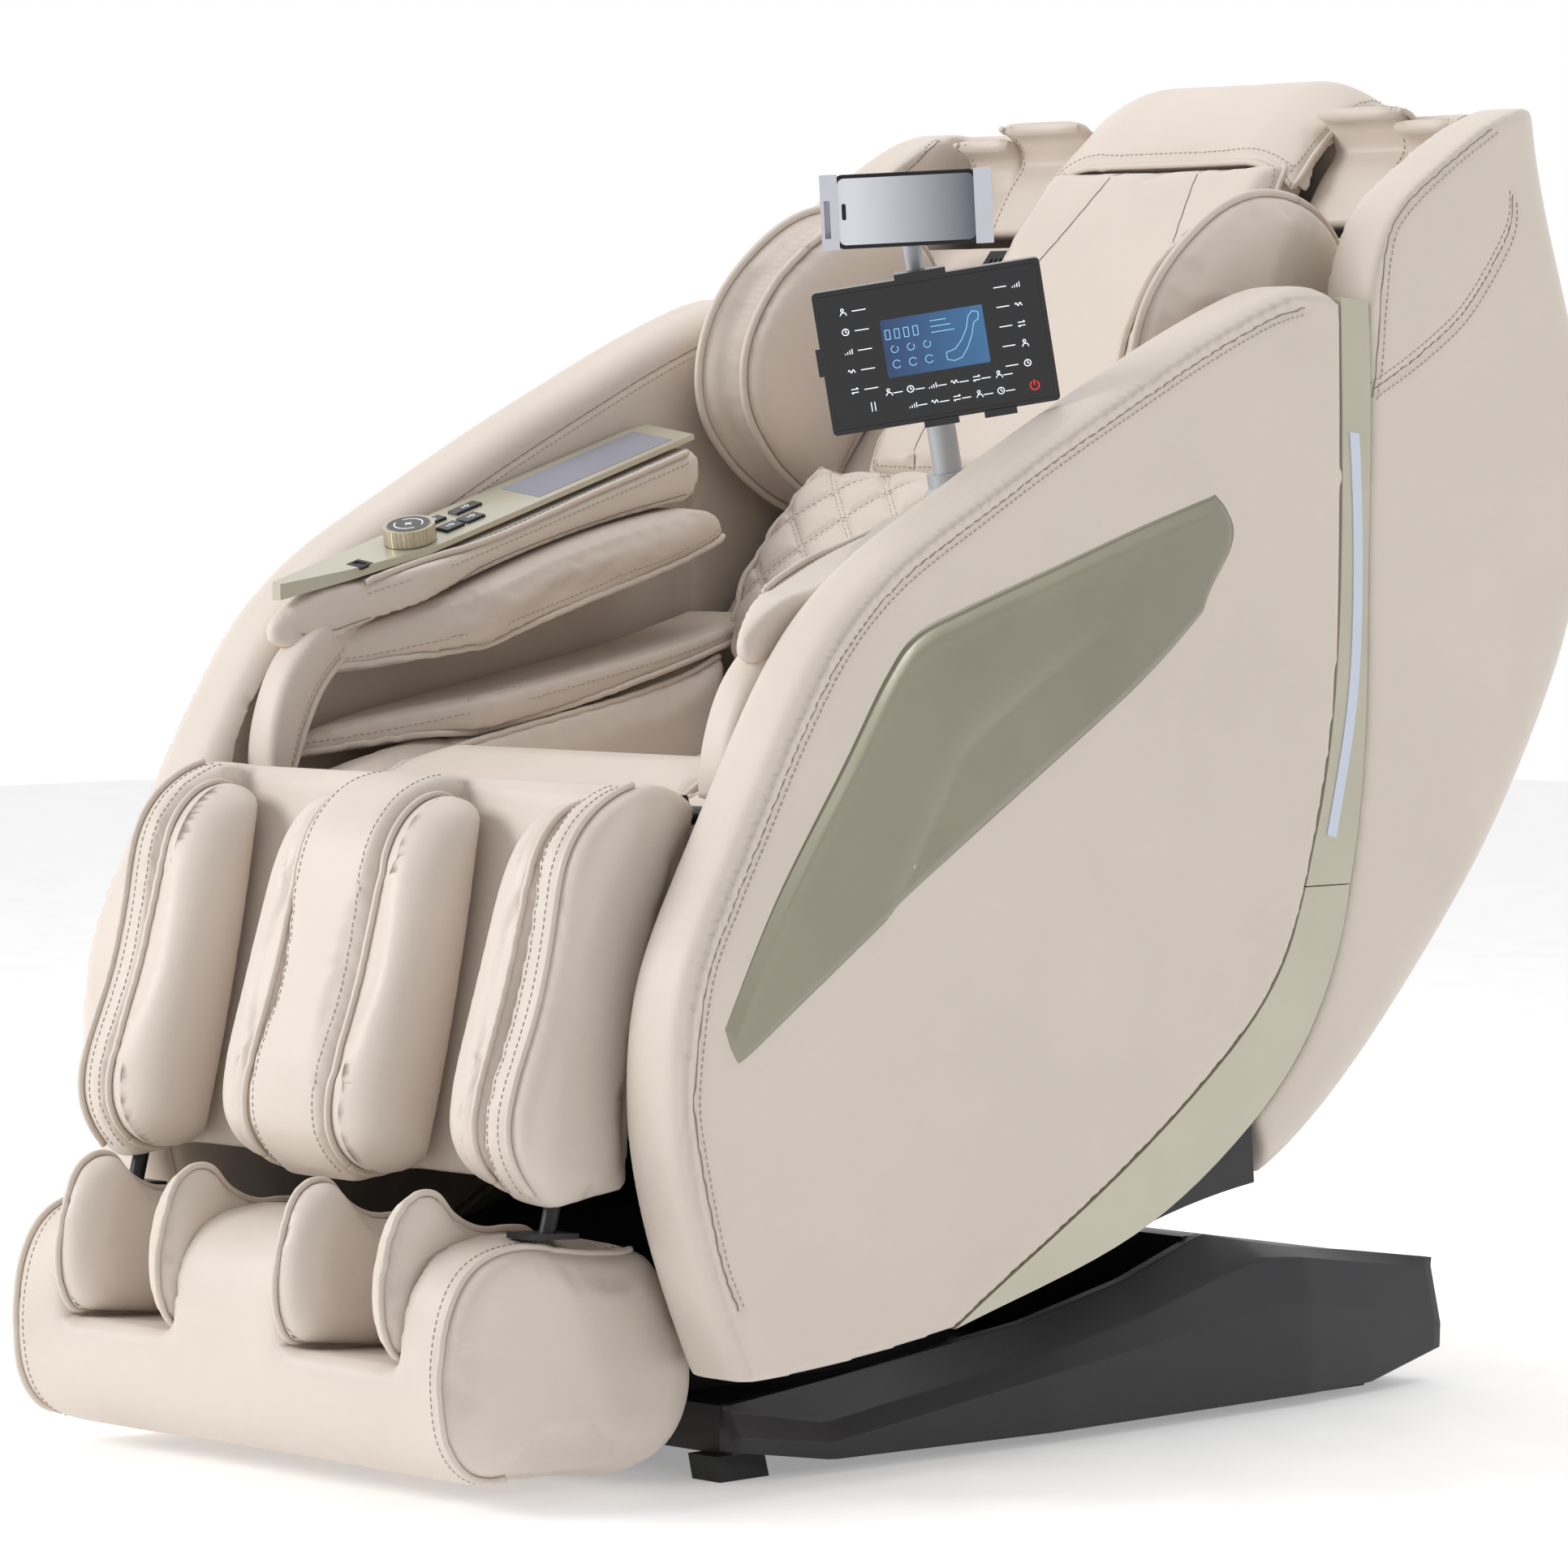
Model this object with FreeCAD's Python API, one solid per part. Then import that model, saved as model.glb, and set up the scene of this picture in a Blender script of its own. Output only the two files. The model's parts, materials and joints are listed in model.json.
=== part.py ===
import FreeCAD, Part
import math
import os

# Massage chair: a base on rubber feet, a seat body that glides on arc rails, a reclining back
# with its roller mechanism, a calf unit with a sliding foot unit, and a control pole.
# Millimetres. +X is the sitter's left, -Y is the front, +Z is up. Side views are drawn in Y, Z
# about a datum point on the floor under the arms, and ORIGIN_Y moves them to the box's centre.

V = FreeCAD.Vector
X_AXIS = V(1, 0, 0)

# ---- driving dimensions -------------------------------------------------------------------
ORIGIN_Y = -30.64           # from the datum point to the centre of the chair's length
HALF_WIDTH = 390.0          # to the outer face of the side panels
PANEL_INNER = 310.0         # inner face of the side panels
SHELL_INNER = 330.0         # inner face of the back shell's wings
INNER_HALF = 300.0          # half the free width between the side panels' linings
LEG_HALF = 290.0            # half the width of the calf and foot units
SKIRT_OUTER = 345.0         # half the width of the base
GLIDE_Y = -456.0            # centre of the glide arc
GLIDE_Z = 1470.0
GLIDE_DEG = 8.0             # travel of the seat body on its rails
RAIL_R = 1388.0             # radius of the rails' running edge
GROOVE_R = 1376.0           # radius of the roof of the rails' grooves
BACK_DEG = 49.4             # slope of the back, from the level
BACK_Y = 155.0              # lower end of the back's surface line
BACK_Z = 690.0
PIVOT_Y = 222.0             # recline pivot
PIVOT_Z = 270.0
LEG_PIVOT_Y = -338.0        # pivot of the calf unit
LEG_PIVOT_Z = 552.0
LEAN_DEG = 15.0             # lean of the calf unit from the vertical
ARM_SLOPE = 17.5            # slope of the armrests along Y
POLE_X = 246.0              # foot of the control pole
POLE_Y = -16.0
POLE_Z = 816.0
POLE_LEAN = 13.0            # lean of the pole towards the front
SCREEN_TURN = 45.0          # the screen's turn towards the sitter's left
SCREEN_UP = 134.0           # height of the screen's middle along the pole
SCREEN_HALF = (98.0, 62.0)  # half the screen's width and height
MAST_TOP = 250.0            # height of the phone cradle's ball along the pole
CRADLE_LEAN = 4.0
KNOB_SPOT = (-38.0, -330.0)  # on the console plate's face
KNOB_RIBS = 36
# on the console plate's face: middle x, middle y, half width, half length
BUTTONS = [(-56.0, -286.0, 6.0, 13.0), (-30.0, -288.0, 8.0, 11.0), (-30.0, -262.0, 8.0, 11.0),
           (-54.0, -246.0, 6.0, 16.0)]
TRAY = (-64.0, -14.0, -190.0, -16.0)      # x and y limits of the phone tray
PORT = (-45.7, -26.3, -402.0, -388.0)     # x and y limits of the charging port
CALF_WELL = (48.0, 242.0)   # from the middle to the sides of a calf well
FOOT_WELL = (70.0, 216.0)
ROD_X = 266.0               # slide rods of the foot unit
ARM_N = -120.0              # depth of the roller arms' pivots behind the back pad's face
ROLLER_N = -86.0            # depth of the rollers' axles
ROLLER_S = (202.0, 298.0)   # places of the rollers up the back
RUN = 0.05                  # radial running clearance of a pin in its hole


# ---- small tools --------------------------------------------------------------------------
def curve(points):
    spline = Part.BSplineCurve()
    spline.interpolate(points)
    return spline.toShape()


def face_yz(runs, x=0.0):
    """A face at X = x from runs of (y, z) points: two points make a line, more a smooth curve."""
    edges = []
    for run in runs:
        points = [V(x, y, z) for y, z in run]
        if len(points) == 2:
            edges.append(Part.makeLine(points[0], points[1]))
        else:
            edges.append(curve(points))
    return Part.Face(Part.Wire(edges))


def closed(points):
    """Straight runs round a polygon."""
    return [[points[i], points[(i + 1) % len(points)]] for i in range(len(points))]


def slab(runs, x0, x1):
    return face_yz(runs, x0).extrude(V(x1 - x0, 0, 0))


def smooth_slab(points, x0, x1):
    """A slab whose side view is one smooth closed curve."""
    spline = Part.BSplineCurve()
    spline.interpolate(Points=[V(x0, y, z) for y, z in points], PeriodicFlag=True)
    return Part.Face(Part.Wire([spline.toShape()])).extrude(V(x1 - x0, 0, 0))


def block(x0, x1, y0, y1, z0, z1):
    return Part.makeBox(x1 - x0, y1 - y0, z1 - z0, V(x0, y0, z0))


def cylinder(radius, start, end):
    start, end = V(*start), V(*end)
    return Part.makeCylinder(radius, (end - start).Length, start, end - start)


def cross_pin(radius, x0, x1, y, z):
    return cylinder(radius, (x0, y, z), (x1, y, z))


def mirrored(shape):
    return shape.mirror(V(0, 0, 0), X_AXIS)


def join(*shapes):
    whole = shapes[0]
    for shape in shapes[1:]:
        whole = whole.fuse(shape)
    return whole.removeSplitter()


def group(shapes):
    solids = []
    for shape in shapes:
        solids.extend(shape.Solids)
    return Part.makeCompound(solids)


def rounded(shape, radius, wanted):
    """Fillets the edges whose centre passes the test `wanted`."""
    edges = [edge for edge in shape.Edges if wanted(edge)]
    return shape.makeFillet(radius, edges)


def at_x(x):
    def test(edge):
        box = edge.BoundBox
        return box.XLength < 0.01 and abs(box.XMin - x) < 0.01
    return test


def either(*tests):
    return lambda edge: any(test(edge) for test in tests)


def tilted(shape, degrees, y, z):
    """Local Y runs along the slope and local Z stands out of it."""
    copy = shape.copy()
    copy.rotate(V(0, 0, 0), X_AXIS, degrees)
    copy.translate(V(0, y, z))
    return copy


def on_back(shape):
    return tilted(shape, BACK_DEG, BACK_Y, BACK_Z)


def back_point(s, n):
    slope = math.radians(BACK_DEG)
    y = BACK_Y + s * math.cos(slope) - n * math.sin(slope)
    z = BACK_Z + s * math.sin(slope) + n * math.cos(slope)
    return y, z


def arc_point(radius, degrees):
    turn = math.radians(degrees)
    return GLIDE_Y + radius * math.sin(turn), GLIDE_Z - radius * math.cos(turn)


def arc_run(radius0, radius1, deg0, deg1, count=5):
    """Points along the glide arc, from one radius to another."""
    points = []
    for i in range(count):
        part = i / (count - 1)
        points.append(arc_point(radius0 + part * (radius1 - radius0), deg0 + part * (deg1 - deg0)))
    return points


def down_leg(y, z, distance):
    lean = math.radians(LEAN_DEG)
    return y - distance * math.sin(lean), z - distance * math.cos(lean)


def save(name, shape):
    moved = shape.copy()
    moved.translate(V(0, ORIGIN_Y, 0))
    moved.exportStep("parts/" + name + ".step")


def both(shape):
    """The piece on the sitter's left, at +X, with its mirror image on the right."""
    return group([shape, mirrored(shape)])


def save_pair(name, shape):
    save(name + "_left", shape)
    save(name + "_right", mirrored(shape))


def in_frame(shape, origin, right, up, out):
    """Moves a shape from local X right, Y up, Z out to a frame in space."""
    matrix = FreeCAD.Matrix(right.x, up.x, out.x, origin.x, right.y, up.y, out.y, origin.y,
                            right.z, up.z, out.z, origin.z, 0, 0, 0, 1)
    copy = shape.copy()
    copy.transformShape(matrix)
    return copy


def facing(lean, turn):
    """Axes of a panel on the pole: its right, its up, and the way its face looks."""
    up = V(0, -math.sin(math.radians(lean)), math.cos(math.radians(lean)))
    level = V(math.sin(math.radians(turn)), -math.cos(math.radians(turn)), 0)
    right = up.cross(level).normalize()
    return right, up, right.cross(up)


def pole_point(distance):
    lean = math.radians(POLE_LEAN)
    return V(POLE_X, POLE_Y - distance * math.sin(lean), POLE_Z + distance * math.cos(lean))


def pole_bore(radius, length, start):
    """A cylinder on the pole's axis, from `start` above its foot."""
    right, up, out = facing(POLE_LEAN, SCREEN_TURN)
    bore = Part.makeCylinder(radius, length, V(0, 0, start))
    return in_frame(bore, pole_point(0), right, up.cross(right), up)


# ---- base ---------------------------------------------------------------------------------
def base_top(deg):
    """Radius of the base's top surface: clear of the gliding body and of the reclined shell."""
    return cover_bottom(deg + GLIDE_DEG) + 4.0 + 2.4 * max(0.0, deg - 14.0)


def cover_bottom(deg):
    """Radius of the underside cover: it swells towards the rear."""
    return 1384.0 + max(0.0, min(1.0, (deg - 5.0) / 22.0)) * 58.0


def base_top_run(count=7):
    first, last = 5.2, 28.4
    points = []
    for i in range(count):
        deg = first + (last - first) * i / (count - 1)
        points.append(arc_point(base_top(deg), deg))
    return points


def skin(rings):
    """A solid of flat facets through closed rings that all have the same number of points."""
    def facet(points):
        return Part.Face(Part.makePolygon(points + points[:1]))
    faces = [facet(rings[0]), facet(rings[-1])]
    for near, far in zip(rings, rings[1:]):
        for i in range(len(near)):
            j = (i + 1) % len(near)
            faces.append(facet([near[i], near[j], far[j]]))
            faces.append(facet([near[i], far[j], far[i]]))
    facets = Part.makeCompound(faces)
    facets.sewShape()
    shell = facets.Shells[0]
    if Part.Solid(shell).Volume < 0:
        shell.reverse()
    return Part.Solid(shell)


def base_skirt():
    """A flared side moulding, lofted through cross-sections along Y."""
    top = base_top_run()
    # y, floor z, lower crease z, upper crease z, top z, outward swell of the creases
    stations = [
        (-345.0, 28.0, 40.0, 62.0, 66.0, 0.92),
        (-240.0, 12.0, 26.0, 42.0, top[1][1], 0.95),
        (10.0, 10.0, 60.0, 76.0, top[3][1], 1.0),
        (135.0, 10.0, 74.0, 98.0, top[5][1], 1.0),
        (237.0, 10.0, 88.0, 124.0, 160.0, 1.0),
        (290.0, 10.0, 96.0, 136.0, 150.0, 1.0),
        (345.0, 10.0, 94.0, 132.0, 140.0, 1.0),
        (440.0, 10.0, 76.0, 118.0, 128.0, 0.97),
        (552.0, 30.0, 52.0, 104.0, 112.0, 0.93),
    ]
    rings = []
    for y, low, crease1, crease2, high, swell in stations:
        outline = [
            V(INNER_HALF, y, low), V(SKIRT_OUTER * 0.985 * swell + 4, y, low),
            V(SKIRT_OUTER * swell, y, crease1), V(SKIRT_OUTER * swell - 12, y, crease2),
            V(INNER_HALF + 6 + 4 * swell, y, high), V(INNER_HALF, y, high),
        ]
        rings.append(outline)
    return skin(rings)


def build_base():
    save("base_skirts", both(base_skirt()))
    pan = block(-299.5, 299.5, -330, 540, 22, 62)
    pan = pan.cut(block(-290, 290, -322, 532, 18, 56))
    for y0, y1 in ((-323, -284), (398, 484)):
        post = block(260, 291, y0, y1, 22, 57)
        pan = join(pan, post, mirrored(post))
    rear = [(541, 60), (541, 111), (440, 127), (345, 139), (290, 149), (237, 158), (222, 158),
            (222, 60)]
    hollow = [(533, 62), (533, 104), (438, 119), (342, 131), (284, 141), (240, 150), (230, 150),
              (230, 62)]
    rear_cover = slab(closed(rear), -299.5, 299.5).cut(slab(closed(hollow), -291.5, 291.5))
    fork = join(block(255, 262, 503, 521, 10, 58), block(282, 289, 503, 521, 10, 58),
                cross_pin(4, 256, 288, 512, 20))
    pan = join(pan, rear_cover, fork, mirrored(fork))
    save("base_pan", pan.cut(block(-45, 45, 520, 560, 29.8, 50.2)))
    front_foot = slab(closed([(-345, 22), (-290, 22), (-284, 0), (-340, 0)]), 262, 296)
    rear_foot = slab(closed([(400, 22), (482, 22), (474, 0), (408, 0)]), 262, 296)
    save("rubber_feet", group([both(front_foot), both(rear_foot)]))
    wheel = cross_pin(16, 263, 281, 512, 20)
    wheel = rounded(wheel, 2.5, lambda edge: edge.BoundBox.ZLength > 30)
    save("transport_wheels", both(wheel.cut(cross_pin(4 + RUN, 250, 300, 512, 20))))
    rail_top = arc_run(RAIL_R, RAIL_R, 5.8, 20.2)
    first, last = rail_top[0][0], rail_top[-1][0]
    rail = [rail_top, [rail_top[-1], (last, 62.5)], [(last, 62.5), (first, 62.5)],
            [(first, 62.5), rail_top[0]]]
    save("glide_rails", both(slab(rail, 196, 204)))
    control = rounded(block(-120, 60, 250, 400, 62.5, 118), 4, lambda e: e.BoundBox.ZLength > 50)
    pump = join(cross_pin(26, -185, -130, 310, 92), block(-182, -134, 284, 336, 62.5, 92))
    save("air_and_control_units", group([control, pump]))
    socket = block(-44.5, -4, 530, 545, 30.5, 49.5).cut(block(-38, -11, 533, 560, 33, 47))
    for x in (-31.0, -24.5, -18.0):
        socket = join(socket, block(x - 1, x + 1, 532, 542, 38, 42))
    frame = block(2, 44.5, 530, 545, 30.5, 49.5).cut(block(8, 38, 520, 560, 32, 48))
    save("power_inlet", group([socket, frame]))
    rocker = slab(closed([(536, 34.5), (548, 35), (545.5, 40), (543.5, 46.5), (536, 46.5)]), 9, 37)
    save("power_switch", rocker)


# ---- seat body ----------------------------------------------------------------------------
PANEL_FRONT = [(-401, 97), (-446, 198), (-472, 300), (-474, 352), (-459, 435), (-428, 498),
               (-391, 562), (-350, 632), (-300, 702), (-233, 760), (-137, 813), (-39, 864),
               (61, 912), (150, 953), (228, 984), (276, 997), (330, 989)]
PANEL_REAR = [(330, 989), (333, 860), (332, 740), (321, 606), (300, 514), (252, 395),
              (168, 315), (13, 214), (-155, 120)]
SHELL_EDGE = [(367, 985), (371, 860), (369, 749), (366, 605), (344, 462), (318, 384),
              (274, 318), (189, 246), (85, 188)]
INSERT = [(-424, 388), (-412, 362), (-398, 364), (-329, 408), (-139, 529), (60, 649), (150, 715)]
INSERT_END = [(150, 715), (172, 738), (186, 792), (180, 812), (163, 815)]
INSERT_TOP = [(163, 815), (60, 786), (-41, 755), (-150, 722), (-205, 702), (-240, 668),
              (-290, 596), (-366, 490), (-424, 388)]


def side_panel():
    runs = [PANEL_FRONT, PANEL_REAR, [(-155, 120), (-233, 109), (-327, 100), (-401, 97)]]
    panel = slab(runs, PANEL_INNER, HALF_WIDTH)
    panel = rounded(panel, 20, lambda e: at_x(HALF_WIDTH)(e) and e.BoundBox.YLength > 700)
    panel = rounded(panel, 26, lambda e: at_x(PANEL_INNER)(e) and e.BoundBox.YLength > 700)
    panel = panel.cut(slab([INSERT, INSERT_END, INSERT_TOP], HALF_WIDTH - 4, HALF_WIDTH + 5))
    channel = [[(-352, 588), (-337, 620), (-304, 662), (-262, 692)], [(-262, 692), (150, 818)],
               [(150, 818), (205, 818)], [(205, 818), (205, 560)], [(205, 560), (-352, 560)],
               [(-352, 560), (-352, 588)]]
    return panel.cut(slab(channel, PANEL_INNER - 5, PANEL_INNER + 14))


def pillar_trims():
    """The tapering trim behind the side panel, split into an upper and a lower piece."""
    split_front = (284, 470)
    split_rear = (346, 470)
    upper_front = [(330.5, 988), (333.5, 860), (332.5, 740), (321.5, 606), (300.5, 514), split_front]
    upper_rear = [split_rear, (366, 605), (369, 749), (371, 860), (367, 985)]
    upper = slab([upper_front, [split_front, split_rear], upper_rear, [(367, 985), (330.5, 988)]],
                 PANEL_INNER - 8, HALF_WIDTH - 3)
    low_front = [(284, 469), (252.5, 394.5), (168.5, 314.5), (13.5, 213.5), (-155, 119.5)]
    low_rear = [(-155, 119.5), (-37, 149), (85, 188), (189, 246), (274, 318), (318, 384),
                (345.5, 469)]
    lower = slab([low_front, low_rear, [(345.5, 469), (284, 469)]], PANEL_INNER - 8, HALF_WIDTH - 3)
    strip_front = [(342, 870), (347, 800), (348, 730), (341, 630), (326, 560), (314, 514)]
    strip_rear = [(326, 511), (338, 558), (353, 628), (360, 730), (359, 800), (355, 868)]
    strip = slab([strip_front, [(314, 514), (326, 511)], strip_rear, [(355, 868), (342, 870)]],
                 HALF_WIDTH - 9, HALF_WIDTH - 2)
    return upper.cut(strip), lower, strip


def seat_profile():
    return [[(-300, 440), (-322, 470), (-322, 520), (-305, 552), (-262, 580), (-215, 587)],
            [(-215, 587), (-150, 578), (-80, 566), (20, 560), (90, 574), (146, 604)],
            [(146, 604), (150, 570)],
            [(150, 570), (60, 440)], [(60, 440), (-300, 440)]]


def arm_frame(shape):
    """Local Y along the armrest's slope from its rear end, local Z out of its top."""
    return tilted(shape, ARM_SLOPE, 132, 861)


def front_taper(x0, y0, x1, y1):
    """What is cut off a piece in the arm channel, so that its front end narrows outwards."""
    corners = [V(x0, y0, 0), V(x1, y1, 0), V(x0, y1, 0)]
    return Part.Face(Part.makePolygon(corners + corners[:1])).extrude(V(0, 0, 1000))


def armrest():
    runs = [[(-322, 700), (-296, 722), (-250, 737)], [(-250, 737), (128, 856)],
            [(128, 856), (134, 832)], [(134, 832), (122, 806)], [(122, 806), (-137, 742), (-262, 692)],
            [(-262, 692), (-300, 678), (-322, 684), (-322, 700)]]
    arm = slab(runs, 224, PANEL_INNER - 0.4).cut(front_taper(215, -180, 300, -330))
    return rounded(arm, 9, lambda e: at_x(224)(e) and e.BoundBox.YLength > 100)


def console():
    """The right armrest's control plate: a wedge that rises towards the outer side."""
    outline = [V(-236, 150, 0), V(-236, -190, 0), V(-262, -262, 0), V(-292, -318, 0), V(-303, -318, 0),
               V(-303, 110, 0), V(-290, 150, 0)]
    face = Part.Face(Part.makePolygon(outline + outline[:1]))
    plan = face.extrude(V(0, 0, 1200))
    section = [V(-230, 0, 1), V(-306, 0, 1), V(-306, 0, 17), V(-230, 0, 5)]
    wedge = Part.Face(Part.makePolygon(section + section[:1]))
    plate = arm_frame(wedge.extrude(V(0, 480, 0)).translated(V(0, -475, 0)))
    return plate.common(plan)


def console_frame(shape):
    """Local X, Y on the console plate's sloping face, from its inner rear edge, Z out of it."""
    copy = shape.copy()
    copy.rotate(V(0, 0, 0), V(0, 1, 0), math.degrees(math.atan2(12, 76)))
    copy.translate(V(-230, 0, 5))
    return arm_frame(copy)


def arm_flap(lower):
    """An airbag pad in the arm channel, thinner towards the front."""
    if lower:
        runs = [[(-322, 590), (-200, 621), (80, 673), (196, 704)], [(196, 704), (204, 696), (196, 688)],
                [(196, 688), (80, 652), (-200, 596), (-316, 578)], [(-316, 578), (-325, 583), (-322, 590)]]
    else:
        runs = [[(-316, 662), (-262, 684), (-137, 733), (100, 795)], [(100, 795), (140, 788), (146, 772)],
                [(146, 772), (100, 752), (-56, 706), (-232, 662), (-312, 654)],
                [(-312, 654), (-319, 658), (-316, 662)]]
    return slab(runs, 200, 306).cut(front_taper(190, -130, 306, -330))


def button(x, y, half_x, half_y):
    cap = block(x - half_x, x + half_x, y - half_y, y + half_y, -0.4, 2.6)
    return rounded(cap, 1.0, lambda e: abs(e.CenterOfMass.z - 2.6) < 0.01)


def console_knob():
    x, y = KNOB_SPOT
    knob = Part.makeCylinder(24, 15, V(x, y, 0.8))
    for i in range(KNOB_RIBS):
        turn = 2 * math.pi * i / KNOB_RIBS
        groove = V(x + 24.6 * math.cos(turn), y + 24.6 * math.sin(turn), 2)
        knob = knob.cut(Part.makeCylinder(1.2, 20, groove))
    knob = knob.fuse(Part.makeCylinder(4, 3.5, V(x, y, -2.6)))
    knob = knob.cut(Part.makeCylinder(20.5, 3, V(x, y, 14.8)))
    cap = Part.makeCylinder(20.3, 1.4, V(x, y, 14.8))
    return group([console_frame(knob), console_frame(cap)])


def build_console():
    plate = console()
    for x, y, half_x, half_y in BUTTONS:
        hole = block(x - half_x - 0.5, x + half_x + 0.5, y - half_y - 0.5, y + half_y + 0.5, -2.5, 20)
        plate = plate.cut(console_frame(hole))
    x0, x1, y0, y1 = TRAY
    plate = plate.cut(console_frame(block(x0 - 0.5, x1 + 0.5, y0 - 0.5, y1 + 0.5, -1.5, 20)))
    plate = plate.cut(console_frame(Part.makeCylinder(4 + RUN, 20, V(KNOB_SPOT[0], KNOB_SPOT[1], -3))))
    x0, x1, y0, y1 = PORT
    plate = plate.cut(console_frame(block(x0 - 0.3, x1 + 0.3, y0 - 0.3, y1 + 0.3, -2.5, 20)))
    save("console_plate", plate)
    port = block(x0, x1, y0, y1, -2.3, 0.4).cut(block(x0 + 2.7, x1 - 2.7, y0 + 3.7, y1 - 3.7, -1, 4))
    save("usb_port", console_frame(port))
    x0, x1, y0, y1 = TRAY
    save("console_tray_pad", console_frame(block(x0, x1, y0, y1, -1.4, 0.2)))
    save("console_knob", console_knob())
    for i, spot in enumerate(BUTTONS):
        save("console_button_" + str(i + 1), console_frame(button(*spot)))


def underside_cover():
    low = []
    for deg in (5.0, 9.0, 13.0, 17.0, 21.0, 25.0, 27.6):
        low.append(arc_point(cover_bottom(deg), deg))
    high = arc_run(1368, 1368, 27.6, 5.0)
    cover = slab([low, [low[-1], high[0]], high, [high[-1], low[0]]], -301, 301)
    roof = arc_run(GROOVE_R, GROOVE_R, 3.0, 29.0)
    outer = arc_run(1500, 1500, 29.0, 3.0)
    groove = slab([roof, [roof[-1], outer[0]], outer, [outer[-1], roof[0]]], 186, 214)
    return cover.cut(groove).cut(mirrored(groove))


def seat_frame():
    pan = join(block(-295, 295, -320, 60, 418, 424), block(-295, 295, -318, -312, 380, 419),
               block(-295, 295, 40, 46, 330, 419))
    cheek_line = closed([(-320, 430), (-348, 535), (-352, 552), (-338, 566), (-324, 556), (-300, 432),
                         (40, 430), (205, 300), (238, 285), (238, 252), (205, 250), (120, 262),
                         (20, 330), (-280, 330), (-320, 380)])
    cheek = slab(cheek_line, 294, 300)
    return join(pan, cheek, mirrored(cheek), cross_pin(8, -299, 299, LEG_PIVOT_Y, LEG_PIVOT_Z),
                cross_pin(10, 280, 299, PIVOT_Y, PIVOT_Z), cross_pin(10, -299, -280, PIVOT_Y, PIVOT_Z))


def build_seat():
    panel = side_panel()
    save("side_panels", both(panel))
    insert = slab([INSERT, INSERT_END, INSERT_TOP], HALF_WIDTH - 4, HALF_WIDTH + 2)
    save("side_inserts", both(insert))
    upper, lower, strip = pillar_trims()
    upper = upper.cut(panel)
    lower = lower.cut(panel)
    save("pillar_trims", group([both(upper), both(lower)]))
    save("light_strips", both(strip))
    frame = seat_frame()
    save("underside_cover", underside_cover().cut(frame))
    tail = [[(85, 187.5), (189, 245.5), (219, 268)], [(219, 268), (223, 213)],
            [(223, 213), (160, 204), (85, 187.5)]]
    save("shell_tail", both(slab(tail, 302, HALF_WIDTH - 6).cut(lower)))
    save("seat_frame", frame)
    shoes = []
    for deg in (15.2, 18.7):
        outer = arc_run(RAIL_R - 0.7, RAIL_R - 0.7, deg - 1.4, deg + 1.4, 3)
        inner = arc_run(GROOVE_R + 0.3, GROOVE_R + 0.3, deg + 1.4, deg - 1.4, 3)
        shoes.append(both(slab([outer, [outer[-1], inner[0]], inner, [inner[-1], outer[0]]], 190, 210)))
    save("glide_shoes", group(shoes))
    save("seat_cushion", slab(seat_profile(), -198, 198))
    hip = [[(-318, 470), (-322, 520), (-316, 556)], [(-316, 556), (-200, 590), (80, 645), (150, 664)],
           [(150, 664), (150, 560)], [(150, 560), (60, 440)], [(60, 440), (-300, 440)],
           [(-300, 440), (-318, 470)]]
    save("hip_pads", both(slab(hip, 199, 293.5)))
    arm = armrest()
    save("armrests", group([arm.cut(pole_bore(19.2, 40, -10.2)), mirrored(arm)]))
    build_console()
    outline = [V(296, -340, 0.5), V(268, -305, 0.5), V(240, -235, 0.5), V(240, -165, 0.5), V(296, -165, 0.5)]
    plate = Part.Face(Part.makePolygon(outline + outline[:1])).extrude(V(0, 0, 3))
    save("left_arm_plate", arm_frame(plate).cut(pole_bore(24.6, 60, -30)))
    save_pair("arm_flap_upper", arm_flap(False))
    save("arm_pads_lower", both(arm_flap(True)))


# ---- back ---------------------------------------------------------------------------------
SHELL_REAR = [(618, 1146), (648, 1040), (676, 960), (694, 870), (692, 770), (672, 690),
              (624, 595), (555, 493), (454, 380), (343, 277), (292, 240), (246, 214)]
BAND = [(371, 985), (377, 1010), (389, 1040), (410, 1070), (470, 1112), (530, 1146), (580, 1163)]


def back_shell():
    edge = [(y + 1.2, z) for y, z in SHELL_EDGE[:-2]]
    start = (225, 272)
    runs = [BAND, [(580, 1163), (604, 1160), (618, 1146)], SHELL_REAR,
            [(246, 214), start], [start] + edge[::-1]]
    runs[-1][-1] = BAND[0]
    shell = slab(runs, -HALF_WIDTH + 1, HALF_WIDTH - 1)
    sides = either(at_x(HALF_WIDTH - 1), at_x(1 - HALF_WIDTH))
    return rounded(shell, 40, lambda e: sides(e) and e.BoundBox.ZLength > 850)


def pad(outline, n0, n1, radius):
    """A cushion on the back's slope: an outline in X and S, from depth n0 to n1."""
    face = Part.Face(Part.makePolygon([V(x, s, n0) for x, s in outline + outline[:1]]))
    solid = face.extrude(V(0, 0, n1 - n0))
    return on_back(rounded(solid, radius, lambda e: abs(e.CenterOfMass.z - n1) < 0.01))


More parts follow.
